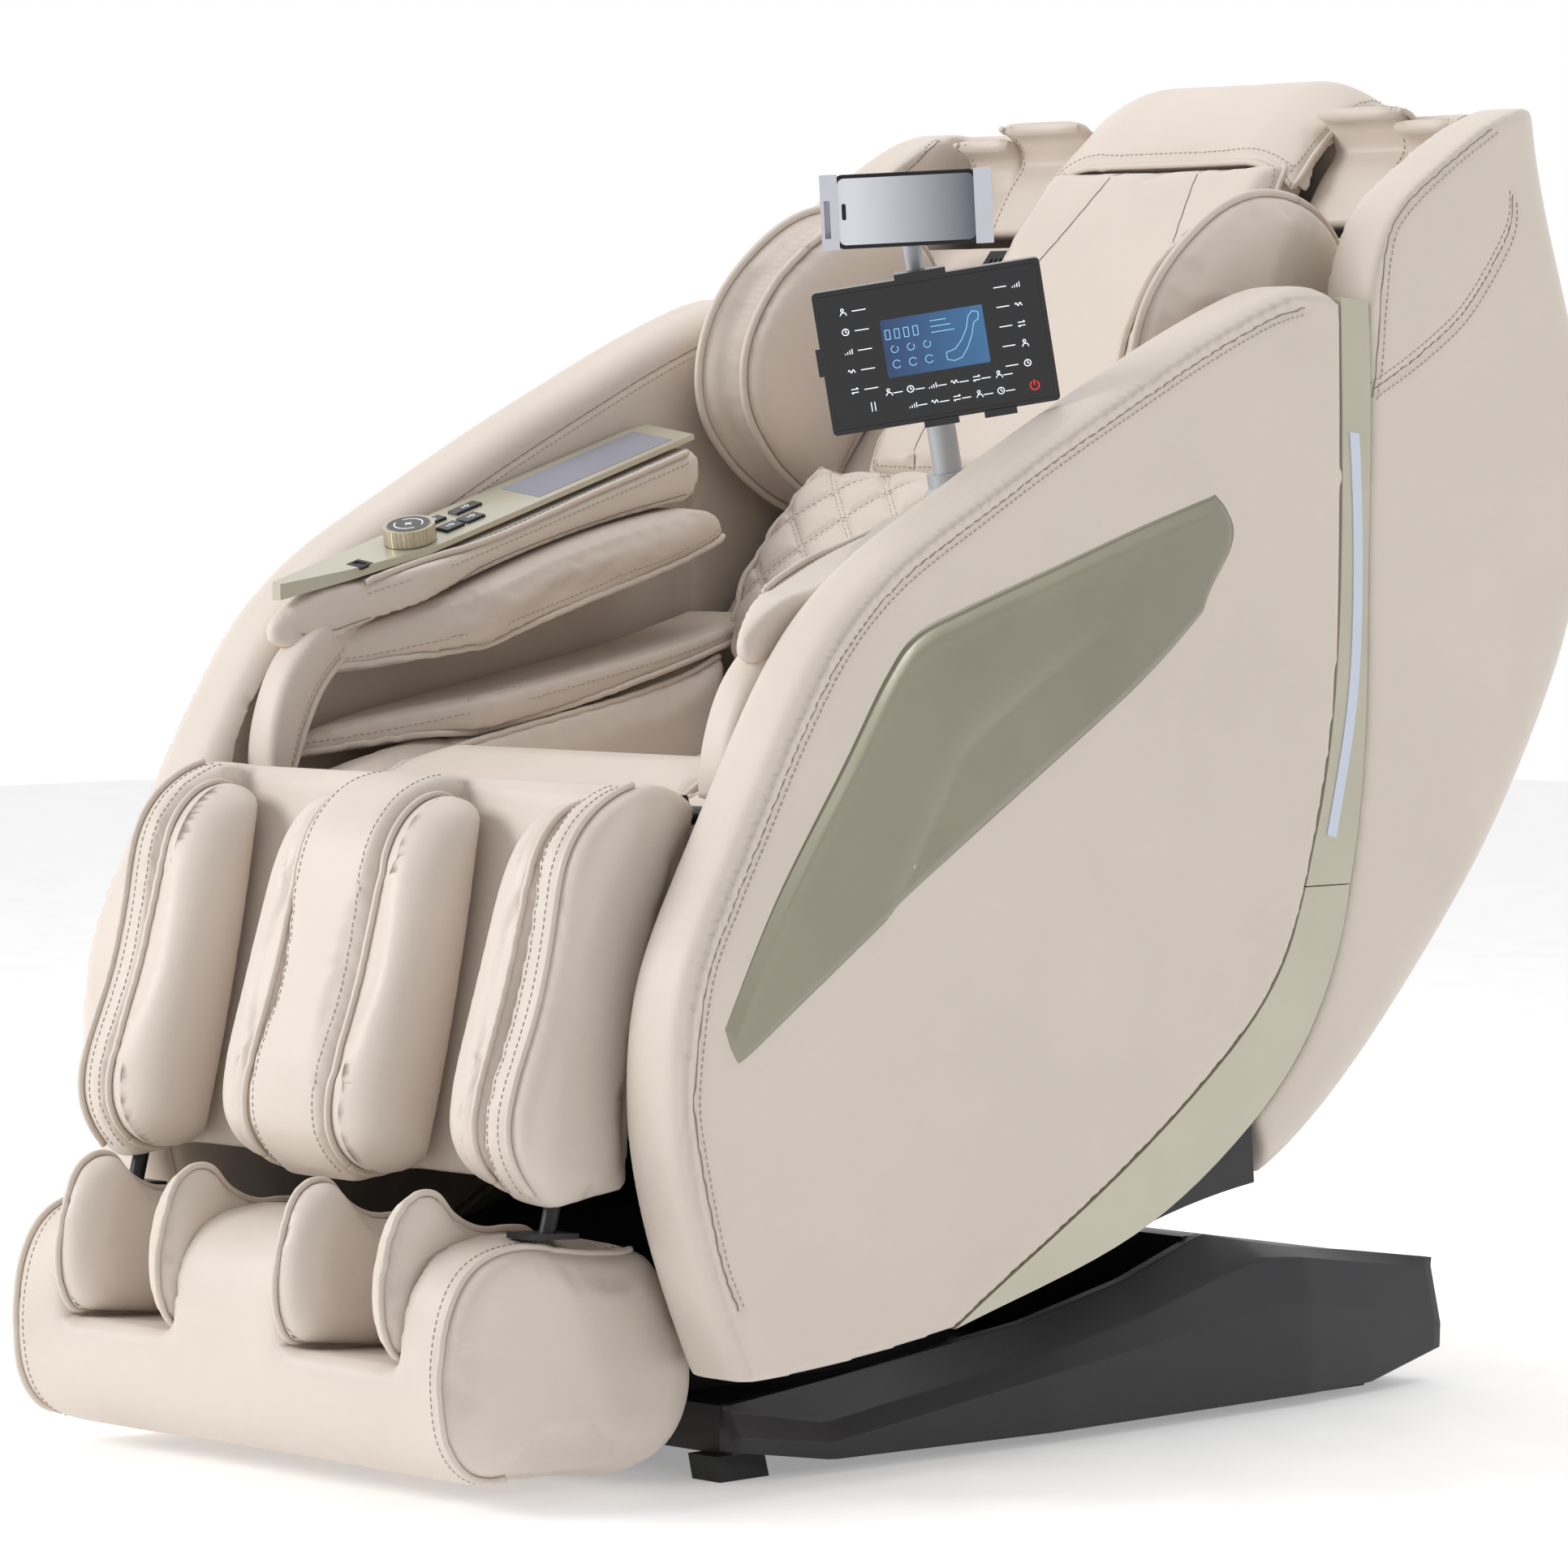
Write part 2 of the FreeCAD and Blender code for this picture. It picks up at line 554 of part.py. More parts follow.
def build_back():
    shell = back_shell()
    cavity = [[(230, 300), (300, 262), (343, 301), (440, 394), (538, 504), (604, 604), (650, 696),
               (670, 775), (672, 868), (655, 952), (625, 1034), (592, 1125)],
              [(592, 1125), (600, 1300)], [(600, 1300), (100, 1300)], [(100, 1300), (100, 300)],
              [(100, 300), (230, 300)]]
    shell = shell.cut(slab(cavity, -SHELL_INNER, SHELL_INNER))
    save("back_shell", shell.cut(cross_pin(40, -305, 305, PIVOT_Y, PIVOT_Z)))
    arm_line = [back_point(-60, -182), back_point(200, -182), back_point(200, -190), back_point(-60, -190),
                (240, 262), (222, 254), (208, 262), (210, 282)]
    arm = slab(closed(arm_line), 283, 289).cut(cross_pin(10 + RUN, 280, 290, PIVOT_Y, PIVOT_Z))
    rail = on_back(block(142, 158, -50, 495, -185, -150))
    plate = on_back(block(-289, 289, -60, 500, -190, -184))
    save("back_frame", join(plate, arm, mirrored(arm), rail, mirrored(rail)))
    liner_line = [(135, -40), (296, -40), (296, 290), (328, 312), (328, 520), (135, 520)]
    save("back_liner", both(pad(liner_line, -62, -47, 4)))
    pad_line = [(-150, 575), (150, 575), (176, 230), (160, 190), (120, 182), (-120, 182), (-160, 190),
                (-176, 230)]
    save("back_pad", pad(pad_line, -44, 0, 14))
    low = back_point(-40, -44)
    high = back_point(170, -44)
    lumbar = [[(262, 838), (222, 806), (188, 768), (160, 726), (148, 696), (144, 668), (150, 646)],
              [(150, 646), low], [low, high], [high, (262, 838)]]
    save("lumbar_pad", slab(lumbar, -198, 198))
    pillow = [[(524, 1124), (560, 1160), (600, 1190), (645, 1203), (668, 1198)],
              [(668, 1198), (672, 1183)],
              [(672, 1183), (640, 1177), (600, 1171), (570, 1152), (548, 1118)], [(548, 1118), (524, 1124)]]
    save("head_pillow", slab(pillow, -160, 160))
    inner = [[(304, 800), (240, 845), (206, 900), (212, 962), (268, 1030), (345, 1072), (410, 1070),
              (468, 1004)], [(468, 1004), (304, 800)]]
    outer = [[(296, 796), (222, 838), (180, 896), (186, 966), (246, 1040), (325, 1082), (410, 1076),
              (468, 1004)], [(468, 1004), (296, 796)]]
    save("shoulder_pads", group([both(slab(inner, 226, 256)), both(slab(outer, 261, 291))]))
    grille = block(168, 214, 410, 500, -46.8, -38)
    for i in range(6):
        grille = grille.cut(block(174 + 6 * i, 176.5 + 6 * i, 420, 490, -42, -30))
    save("speaker_grilles", both(on_back(grille)))
    build_mechanism()


def build_mechanism():
    """The roller carriage that runs behind the back pad, with two rocking arms and four rollers."""
    body = block(-139, 139, 190, 310, -182, -135)
    body = body.cut(block(-96, 96, 205, 295, -150, -130)).cut(block(-96, 96, 180, 320, -140, -130))
    guides = [block(-141.4, -138, 195, 305, -180, -152), block(138, 141.4, 195, 305, -180, -152)]
    for x0, x1 in ((-62, -57), (-39, -34), (34, 39), (57, 62)):
        body = join(body, block(x0, x1, 238, 262, -152, -104))
    for x0, x1 in ((-62, -34), (34, 62)):
        body = join(body, Part.makeCylinder(5, x1 - x0, V(x0, 250, ARM_N), X_AXIS))
    save("massage_carriage", on_back(join(body, *guides)))
    bar = block(42, 54, 192, 308, ARM_N - 7, ARM_N + 7)
    for s in ROLLER_S:
        bar = join(bar, block(42, 54, s - 8, s + 8, ARM_N - 7, ROLLER_N + 8),
                   Part.makeCylinder(5, 30, V(53, s, ROLLER_N), X_AXIS),
                   Part.makeCylinder(8, 2, V(82.5, s, ROLLER_N), X_AXIS))
    bar = on_back(bar.cut(Part.makeCylinder(5 + RUN, 30, V(34, 250, ARM_N), X_AXIS)))
    save_pair("roller_arm", bar)
    for i, s in enumerate(ROLLER_S):
        roller = Part.makeCylinder(26, 26, V(55.5, s, ROLLER_N), X_AXIS)
        roller = rounded(roller, 6, lambda e: e.BoundBox.YLength > 50)
        roller = roller.cut(Part.makeCylinder(5 + RUN, 40, V(50, s, ROLLER_N), X_AXIS))
        save_pair("massage_roller_" + ("lower", "upper")[i], on_back(roller))


# ---- leg rest -----------------------------------------------------------------------------
CALF_FRONT = [(-520, 237), (-546, 262), (-560, 292), (-556, 335), (-532, 400), (-510, 480),
              (-494, 530), (-462, 566), (-408, 586), (-353, 566)]
ROD_FOOT = (-508.0, 212.0)


def calf_shell():
    runs = [CALF_FRONT, [(-353, 566), (-438, 248)], [(-438, 248), (-520, 237)]]
    shell = slab(runs, -LEG_HALF, LEG_HALF)
    shell = rounded(shell, 14, lambda e: abs(abs(e.CenterOfMass.x) - LEG_HALF) < 0.1
                    and e.BoundBox.ZLength > 330)
    well = closed([(-380, 640), (-476, 200), (-700, 200), (-700, 640)])
    for side in (-1, 1):
        shell = shell.cut(slab(well, side * CALF_WELL[0], side * CALF_WELL[1]))
    for side in (-1, 1):
        top = down_leg(ROD_FOOT[0], ROD_FOOT[1], -282)
        shell = shell.cut(cylinder(7.6, (side * ROD_X, *top), (side * ROD_X, *ROD_FOOT)))
    return shell


def foot_shell():
    outline = [(-420, 204), (-500, 211), (-562, 213), (-602, 197), (-626, 160), (-634, 113), (-630, 66),
               (-606, 34), (-560, 23), (-480, 20), (-412, 22), (-370, 46), (-354, 92), (-376, 162)]
    shell = smooth_slab(outline, -LEG_HALF + 2, LEG_HALF - 2)
    shell = rounded(shell, 16, either(at_x(LEG_HALF - 2), at_x(2 - LEG_HALF)))
    well = closed([(-700, 118), (-480, 100), (-446, 122), (-434, 300), (-700, 300)])
    for side in (-1, 1):
        shell = shell.cut(slab(well, side * FOOT_WELL[0], side * FOOT_WELL[1]))
    return shell


def build_legs():
    save("calf_shell", calf_shell())
    pad_line = [[(-403, 552), (-416, 564), (-452, 558), (-484, 522), (-502, 470), (-524, 398), (-546, 335),
                 (-548, 292), (-530, 264), (-486, 252), (-466, 262)], [(-466, 262), (-403, 552)]]
    inner = slab(pad_line, CALF_WELL[0] + 0.4, CALF_WELL[0] + 62)
    outer = slab(pad_line, CALF_WELL[1] - 62, CALF_WELL[1] - 0.4)
    save("calf_pads", group([both(inner), both(outer)]))
    plate = slab(closed([(-354, 556), (-347, 556), (-430, 248), (-437, 248)]), -230, 230)
    ear_line = [(-354, 556), (-346, 568), (-330, 568), (-324, 552), (-330, 540), (-345, 520),
                (-363, 510)]
    ear = slab(closed(ear_line), 236, 246)
    bridge = slab(closed([(-362, 524), (-355, 524), (-369, 472), (-376, 472)]), 200, 246)
    frame = join(plate, bridge, mirrored(bridge), ear, mirrored(ear))
    save("calf_frame", frame.cut(cross_pin(8 + RUN, -300, 300, LEG_PIVOT_Y, LEG_PIVOT_Z)))
    save("foot_shell", foot_shell())
    foot_line = [[(-618, 122), (-633, 160), (-626, 215), (-604, 250), (-580, 255), (-558, 240),
                  (-520, 222), (-470, 214), (-450, 180), (-452, 128)],
                 [(-452, 128), (-482, 104)], [(-482, 104), (-618, 122)]]
    inner = slab(foot_line, FOOT_WELL[0] + 0.4, FOOT_WELL[0] + 30)
    outer = slab(foot_line, FOOT_WELL[1] - 30, FOOT_WELL[1] - 0.4)
    save("foot_pads", group([both(inner), both(outer)]))
    top = down_leg(ROD_FOOT[0], ROD_FOOT[1], -262)
    rod = cylinder(7, (ROD_X, *down_leg(*ROD_FOOT, -4)), (ROD_X, *top))
    flange = slab(closed([(-536, 216.6), (-484, 213.6), (-484, 218.4), (-536, 222)]), ROD_X - 16, ROD_X + 14)
    save("foot_slide", both(join(rod, flange)))


# ---- control pole -------------------------------------------------------------------------
def build_pole():
    right, up, out = facing(POLE_LEAN, SCREEN_TURN)
    foot = pole_point(0)
    collar = Part.makeCylinder(19, 30, V(0, 0, -10)).fuse(Part.makeCone(24, 19, 8, V(0, 0, 0)))
    collar = collar.cut(Part.makeCylinder(12.5 + RUN, 40, V(0, 0, -6)))
    axes = (right, up.cross(right), up)
    save("pole_socket", in_frame(collar, foot, *axes))
    lower = Part.makeCylinder(12.5, 156, V(0, 0, -5.5))
    lower = in_frame(lower, foot, *axes)
    centre = pole_point(SCREEN_UP)
    bracket = join(block(-16, 16, -14, 14, -15, 13), block(-16, -10, -8, 8, 12, 26),
                   block(10, 16, -8, 8, 12, 26), Part.makeCylinder(3, 30, V(-15, 0, 20), X_AXIS))
    lower = join(lower, in_frame(bracket, centre, right, up, out))
    bore = in_frame(Part.makeCylinder(8 + RUN, 170, V(0, 0, 6)), foot, *axes)
    save("pole_lower", lower.cut(bore))
    half_w, half_h = SCREEN_HALF
    case = block(-half_w + 6, half_w + 6, -half_h, half_h, 29, 39)
    case = rounded(case, 4, lambda e: e.BoundBox.ZLength > 9)
    lug = block(-9.5, 9.5, -6, 6, 15, 30)
    clips = [block(-20, 24, half_h - 1, half_h + 5, 28, 41),
             block(-14, 16, -half_h - 5, -half_h + 1, 28, 41),
             block(38, 66, -half_h - 5, -half_h + 1, 28, 41),
             block(-half_w + 2, -half_w + 7, -10, 14, 30, 38)]
    case = join(case, lug, *clips)
    case = case.cut(Part.makeCylinder(3 + RUN, 30, V(-15, 0, 20), X_AXIS))
    case = case.cut(block(-half_w + 10, half_w + 2, -half_h + 4, half_h - 4, 37.4, 45))
    save("screen_housing", in_frame(case, centre, right, up, out))
    glass = block(-half_w + 10.3, half_w + 1.7, -half_h + 4.3, half_h - 4.3, 37.4, 39)
    save("screen_glass", in_frame(glass, centre, right, up, out))
    mast = join(Part.makeCylinder(8, MAST_TOP - 66, V(0, 0, 34)),
                Part.makeCone(8, 4, 6, V(0, 0, MAST_TOP - 32)),
                Part.makeCylinder(4, 26, V(0, 0, MAST_TOP - 26)), Part.makeSphere(9, V(0, 0, MAST_TOP)))
    save("pole_upper", in_frame(mast, foot, *axes))
    build_cradle()


def build_cradle():
    axes = facing(CRADLE_LEAN, SCREEN_TURN)
    centre = pole_point(MAST_TOP)
    back = join(block(-62, 62, -20, 20, 11, 16), block(-14, 14, -14, 14, 1, 11.5),
                block(-73, -61.8, -32, 32, 11, 28), block(-62.5, -58, -32, 32, 25.4, 28))
    back = back.cut(Part.makeSphere(9.4, V(0, 0, 0))).cut(block(-7, 7, -15, 0, 0, 10.8))
    back = back.cut(block(30, 63, -8, 8, 13, 20)).cut(block(-70, -65, -22, 10, 20, 40))
    save("phone_holder", in_frame(back, centre, *axes))
    jaw = join(block(62.3, 73, -32, 32, 13.3, 28), block(58, 63, -32, 32, 25.4, 28),
               block(31, 63, -7.6, 7.6, 13.3, 15.6))
    save("phone_jaw", in_frame(jaw, centre, *axes))
    phone = block(-61.5, 61.5, -31.5, 31.5, 16.4, 24.6)
    phone = rounded(phone, 8, lambda e: abs(e.BoundBox.ZLength - 8.2) < 0.01)
    save("phone", in_frame(phone, centre, *axes))


if __name__ == "__main__":
    os.makedirs("parts", exist_ok=True)
    build_base()
    build_seat()
    build_back()
    build_legs()
    build_pole()
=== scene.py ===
import json
import math

import bmesh
import bpy
import numpy as np
from mathutils import Matrix, Vector
from mathutils.bvhtree import BVHTree


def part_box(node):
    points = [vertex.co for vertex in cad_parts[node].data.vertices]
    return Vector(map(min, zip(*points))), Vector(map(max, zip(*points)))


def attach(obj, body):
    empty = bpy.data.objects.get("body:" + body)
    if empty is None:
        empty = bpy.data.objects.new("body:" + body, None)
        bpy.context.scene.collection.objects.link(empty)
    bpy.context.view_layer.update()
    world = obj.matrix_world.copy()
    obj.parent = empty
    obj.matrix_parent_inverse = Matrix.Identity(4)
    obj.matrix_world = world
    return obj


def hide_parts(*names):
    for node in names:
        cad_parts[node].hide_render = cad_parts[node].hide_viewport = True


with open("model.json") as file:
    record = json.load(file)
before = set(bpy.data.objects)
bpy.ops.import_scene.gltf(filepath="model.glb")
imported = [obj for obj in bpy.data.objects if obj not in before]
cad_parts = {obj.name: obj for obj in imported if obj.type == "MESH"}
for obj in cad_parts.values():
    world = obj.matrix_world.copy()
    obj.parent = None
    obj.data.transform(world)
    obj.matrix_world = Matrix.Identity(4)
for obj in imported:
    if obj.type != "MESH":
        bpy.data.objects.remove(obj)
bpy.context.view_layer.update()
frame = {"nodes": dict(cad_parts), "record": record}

# Looks for the massage chair. Side views are given in millimetres, Y and Z, about the datum point on
# the floor that the CAD source uses, and `place` turns them into the frame's metres.

MM = 0.001
FRONT_FOOT = 345.0                                        # from the datum to the front feet's toes
DATUM_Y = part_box("rubber_feet")[0].y + FRONT_FOOT * MM
BACK_SLOPE = math.radians(49.4)
BACK_FOOT = (155.0, 690.0)                                # where the back's surface line starts
JOINTS = {joint["name"]: joint for joint in frame["record"]["behaviour"]["joints"]}
VOXEL = 0.0055
SIDES = (("left", 1), ("right", -1))
BOTH = (1, -1)
# radius of the thin dark tubes laid in the seam grooves as painted seam shadow
SEAM_SHADOW_RADIUS = 0.0006
FLOOR = 9                                                 # half the floor's width
CAMERA_SPOT = (4205.65, -4081.0, 859.0)
CAMERA_TURN = 45.707
CAMERA_RISE = 2.9576
CAMERA_LENS = 151.1
PANEL_FACE = 390                                          # outer faces of the side panels
SHELL_FACE = 389                                          # outer faces of the back shell


# ---- places -------------------------------------------------------------------------------
def place(x, y, z):
    """A point given in millimetres about the datum."""
    return Vector((x * MM, y * MM + DATUM_Y, z * MM))


def side_view(x, points):
    return [place(x, y, z) for y, z in points]


def on_back(x, s, n):
    """A point on the back: x across, s up its slope, n out of its face."""
    y = BACK_FOOT[0] + s * math.cos(BACK_SLOPE) - n * math.sin(BACK_SLOPE)
    z = BACK_FOOT[1] + s * math.sin(BACK_SLOPE) + n * math.cos(BACK_SLOPE)
    return place(x, y, z)


def smooth_path(points, step=0.006, closed=False):
    """A Catmull-Rom curve through the points, sampled about every `step` metres."""
    count = len(points)
    spans = count if closed else count - 1
    path = []
    for i in range(spans):
        if closed:
            a, b, c, d = (points[(i + k - 1) % count] for k in range(4))
        else:
            a, b, c, d = (points[min(max(i + k - 1, 0), count - 1)] for k in range(4))
        pieces = max(2, int((c - b).length / step))
        for k in range(pieces):
            t = k / pieces
            path.append(0.5 * (2 * b + (c - a) * t + (2 * a - 5 * b + 4 * c - d) * t * t
                               + (3 * b - a - 3 * c + d) * t * t * t))
    if not closed:
        path.append(points[-1].copy())
    return path


# ---- materials ----------------------------------------------------------------------------
def new_material(name, colour, roughness):
    material = bpy.data.materials.new(name)
    material.use_nodes = True
    shader = material.node_tree.nodes["Principled BSDF"]
    shader.inputs["Base Color"].default_value = (*colour, 1)
    shader.inputs["Roughness"].default_value = roughness
    return material, material.node_tree, shader


def texture(tree, kind, scale, detail=None):
    node = tree.nodes.new(kind)
    coords = tree.nodes.new("ShaderNodeTexCoord")
    tree.links.new(coords.outputs["Object"], node.inputs["Vector"])
    node.inputs["Scale"].default_value = scale
    if detail is not None:
        node.inputs["Detail"].default_value = detail
    return node


def vary_colour(tree, shader, colour, source, dark, light):
    ramp = tree.nodes.new("ShaderNodeValToRGB")
    ramp.color_ramp.elements[0].position = 0.3
    ramp.color_ramp.elements[1].position = 0.7
    ramp.color_ramp.elements[0].color = (*(min(c * dark, 1) for c in colour), 1)
    ramp.color_ramp.elements[1].color = (*(min(c * light, 1) for c in colour), 1)
    tree.links.new(source, ramp.inputs["Fac"])
    tree.links.new(ramp.outputs["Color"], shader.inputs["Base Color"])


def vary_roughness(tree, shader, source, low, high):
    span = tree.nodes.new("ShaderNodeMapRange")
    span.inputs["To Min"].default_value = low
    span.inputs["To Max"].default_value = high
    tree.links.new(source, span.inputs["Value"])
    tree.links.new(span.outputs["Result"], shader.inputs["Roughness"])


def add_bump(tree, shader, heights, strength, distance):
    """Bump from a weighted sum of heights: [(socket, weight), ...]."""
    total = None
    for socket, weight in heights:
        scaled = tree.nodes.new("ShaderNodeMath")
        scaled.operation = "MULTIPLY_ADD"
        scaled.inputs[1].default_value = weight
        tree.links.new(socket, scaled.inputs[0])
        if total is None:
            scaled.inputs[2].default_value = 0.0
        else:
            tree.links.new(total, scaled.inputs[2])
        total = scaled.outputs[0]
    bump = tree.nodes.new("ShaderNodeBump")
    bump.inputs["Strength"].default_value = strength
    bump.inputs["Distance"].default_value = distance
    tree.links.new(total, bump.inputs["Height"])
    tree.links.new(bump.outputs["Normal"], shader.inputs["Normal"])


def leather(name, colour, roughness=0.46):
    """Leatherette: fine pebbled cells, slow waves, and a soft uneven sheen."""
    material, tree, shader = new_material(name, colour, roughness)
    cells = texture(tree, "ShaderNodeTexVoronoi", 750)
    pores = texture(tree, "ShaderNodeTexNoise", 1800, 2)
    waves = texture(tree, "ShaderNodeTexNoise", 26, 2)
    tone = texture(tree, "ShaderNodeTexNoise", 7, 3)
    vary_colour(tree, shader, colour, tone.outputs["Fac"], 0.965, 1.02)
    vary_roughness(tree, shader, waves.outputs["Fac"], roughness - 0.07, roughness + 0.08)
    add_bump(tree, shader, [(cells.outputs["Distance"], 0.5), (pores.outputs["Fac"], 0.3),
                            (waves.outputs["Fac"], 3.0)], 0.3, 0.0006)
    shader.inputs["Sheen Weight"].default_value = 0.08
    shader.inputs["Sheen Roughness"].default_value = 0.5
    shader.inputs["Specular IOR Level"].default_value = 0.42
    return material


def moulded(name, colour, roughness=0.45, grain=1400.0, strength=0.25, coat=0.0, metallic=0.0):
    """Moulded or painted surface: fine spark texture and faint uneven gloss."""
    material, tree, shader = new_material(name, colour, roughness)
    sparks = texture(tree, "ShaderNodeTexNoise", grain, 3)
    clouds = texture(tree, "ShaderNodeTexNoise", 9, 3)
    vary_colour(tree, shader, colour, clouds.outputs["Fac"], 0.96, 1.04)
    vary_roughness(tree, shader, clouds.outputs["Fac"], roughness - 0.05, roughness + 0.05)
    add_bump(tree, shader, [(sparks.outputs["Fac"], 1.0)], strength, 0.0003)
    shader.inputs["Coat Weight"].default_value = coat
    shader.inputs["Coat Roughness"].default_value = 0.08
    shader.inputs["Metallic"].default_value = metallic
    return material


def glowing(name, colour, strength, roughness=0.3):
    material, tree, shader = new_material(name, colour, roughness)
    ripple = texture(tree, "ShaderNodeTexNoise", 500, 2)
    add_bump(tree, shader, [(ripple.outputs["Fac"], 1.0)], 0.05, 0.0001)
    shader.inputs["Emission Color"].default_value = (*colour, 1)
    shader.inputs["Emission Strength"].default_value = strength
    return material


def gradient(name, low, high, direction, start, end, roughness=0.12):
    """A picture that runs from one plain tone to another between two places."""
    material, tree, shader = new_material(name, low, roughness)
    coords = tree.nodes.new("ShaderNodeTexCoord")
    dot = tree.nodes.new("ShaderNodeVectorMath")
    dot.operation = "DOT_PRODUCT"
    dot.inputs[1].default_value = direction
    tree.links.new(coords.outputs["Object"], dot.inputs[0])
    span = tree.nodes.new("ShaderNodeMapRange")
    span.inputs["From Min"].default_value = start
    span.inputs["From Max"].default_value = end
    tree.links.new(dot.outputs["Value"], span.inputs["Value"])
    ramp = tree.nodes.new("ShaderNodeValToRGB")
    ramp.color_ramp.elements[0].color = (*low, 1)
    ramp.color_ramp.elements[1].color = (*high, 1)
    tree.links.new(span.outputs["Result"], ramp.inputs["Fac"])
    tree.links.new(ramp.outputs["Color"], shader.inputs["Base Color"])
    tree.links.new(ramp.outputs["Color"], shader.inputs["Emission Color"])
    shader.inputs["Emission Strength"].default_value = 0.5
    return material


CREAM = leather("cream_leather", (0.71, 0.63, 0.555))
PAD_CREAM = leather("pad_leather", (0.72, 0.635, 0.56), 0.42)
PIPING = leather("piping_leather", (0.70, 0.62, 0.545), 0.36)
THREAD = moulded("thread", (0.52, 0.45, 0.39), 0.6, 3000.0, 0.6)
# Colour of the thin dark tubes laid in the seam grooves: painted shadow of the seam gaps, not a thread
# colour.
PAINTED_SEAM_SHADOW = moulded("seam_shadow", (0.33, 0.275, 0.235), 0.8, 3000.0, 0.6)
BASE = moulded("charcoal_plastic", (0.014, 0.0125, 0.0155), 0.46, 900.0, 0.3)
DARK = moulded("dark_plastic", (0.02, 0.02, 0.022), 0.5, 900.0, 0.4)
RUBBER = moulded("black_rubber", (0.018, 0.018, 0.019), 0.75, 600.0, 0.6)
STEEL = moulded("black_paint", (0.03, 0.03, 0.033), 0.35, 700.0, 0.2, metallic=0.3)
OLIVE = moulded("olive_satin", (0.29, 0.275, 0.205), 0.3, 1200.0, 0.1, coat=0.3, metallic=0.45)
CHAMPAGNE = moulded("champagne_satin", (0.56, 0.53, 0.42), 0.3, 1200.0, 0.1, coat=0.25, metallic=0.4)
GLOSS_BLACK = moulded("gloss_black", (0.004, 0.004, 0.006), 0.22, 400.0, 0.03, coat=0.1)
KNOB = moulded("champagne_knob", (0.55, 0.49, 0.37), 0.28, 1500.0, 0.15, coat=0.2, metallic=0.55)
TRAY_PAD = moulded("lavender_pad", (0.30, 0.295, 0.35), 0.6, 500.0, 0.6)
ROLLER = moulded("roller_rubber", (0.2, 0.18, 0.16), 0.6, 500.0, 0.5)
POLE = moulded("silver_paint", (0.50, 0.52, 0.55), 0.35, 1500.0, 0.12, coat=0.2, metallic=0.2)
HOLDER = moulded("pale_plastic", (0.70, 0.70, 0.78), 0.35, 1200.0, 0.15, coat=0.15)
PHONE = moulded("phone_case", (0.012, 0.012, 0.015), 0.3, 900.0, 0.05, coat=0.1)
LAMP = glowing("lamp_diffuser", (0.55, 0.60, 0.70), 0.12, 0.45)
WHITE_MARK = glowing("white_marks", (0.8, 0.85, 0.9), 0.7)
BLUE_MARK = glowing("pale_blue_marks", (0.25, 0.55, 0.8), 0.6)
RED_MARK = glowing("red_mark", (0.8, 0.02, 0.02), 0.6)


# ---- mesh tools ---------------------------------------------------------------------------
def add_object(name, data):
    obj = bpy.data.objects.new(name, data)
    bpy.context.scene.collection.objects.link(obj)
    return obj


def mesh_object(name, points, faces, material, flat=False):
    mesh = bpy.data.meshes.new(name)
    mesh.from_pydata([tuple(p) for p in points], [], faces)
    mesh.validate()
    mesh.polygons.foreach_set("use_smooth", [not flat] * len(mesh.polygons))
    mesh.materials.append(material)
    return add_object(name, mesh)


def apply_modifiers(obj):
    graph = bpy.context.evaluated_depsgraph_get()
    mesh = bpy.data.meshes.new_from_object(obj.evaluated_get(graph))
    obj.modifiers.clear()
    obj.data = mesh
    return obj


def coordinates(obj):
    values = np.empty(len(obj.data.vertices) * 3)
    obj.data.vertices.foreach_get("co", values)
    return values.reshape(-1, 3)


def normals(obj):
    values = np.empty(len(obj.data.vertices) * 3)
    obj.data.vertices.foreach_get("normal", values)
    return values.reshape(-1, 3)


def set_coordinates(obj, values):
    obj.data.vertices.foreach_set("co", values.ravel())
    obj.data.update()


def soft_copy(node, name, material, voxel=None, rounds=8):
    """A fine, rounded quad mesh of a CAD solid's shape."""
    mesh = frame["nodes"][node].data.copy()
    obj = add_object(name, mesh)
    work = bmesh.new()
    work.from_mesh(mesh)
    bmesh.ops.remove_doubles(work, verts=work.verts, dist=1e-5)
    work.to_mesh(mesh)
    work.free()
    remesh = obj.modifiers.new("remesh", "REMESH")
    remesh.mode = "VOXEL"
    remesh.voxel_size = voxel or VOXEL
    if rounds:
        relax = obj.modifiers.new("relax", "SMOOTH")
        relax.factor = 0.5
        relax.iterations = rounds
    apply_modifiers(obj)
    obj.data.materials.clear()
    obj.data.materials.append(material)
    obj.data.polygons.foreach_set("use_smooth", [True] * len(obj.data.polygons))
    return obj


def inflate(pieces, cap, pressure=4.0):
    """Cloth with air inside: every piece swells by at most `cap` metres."""
    scene = bpy.context.scene
    scene.frame_start = 1
    scene.frame_end = 20
    before = [coordinates(piece) for piece in pieces]
    for piece in pieces:
        cloth = piece.modifiers.new("cloth", "CLOTH")
        cloth.settings.use_pressure = True
        cloth.settings.uniform_pressure_force = pressure
        cloth.settings.effector_weights.gravity = 0.0
        cloth.settings.quality = 4
        cloth.settings.tension_stiffness = 8
        cloth.settings.compression_stiffness = 8
        cloth.settings.bending_stiffness = 0.4
        cloth.point_cache.frame_start = 1
        cloth.point_cache.frame_end = 20
    for step in range(1, 21):
        scene.frame_set(step)
    for piece, old in zip(pieces, before):
        apply_modifiers(piece)
        move = coordinates(piece) - old
        size = np.linalg.norm(move, axis=1, keepdims=True)
        move *= np.minimum(1.0, cap / np.maximum(size, 1e-9))
        set_coordinates(piece, old + move)
    scene.frame_set(1)


def subdivide(obj):
    step = obj.modifiers.new("subdivide", "SUBSURF")
    step.levels = 1
    step.render_levels = 1
    return apply_modifiers(obj)


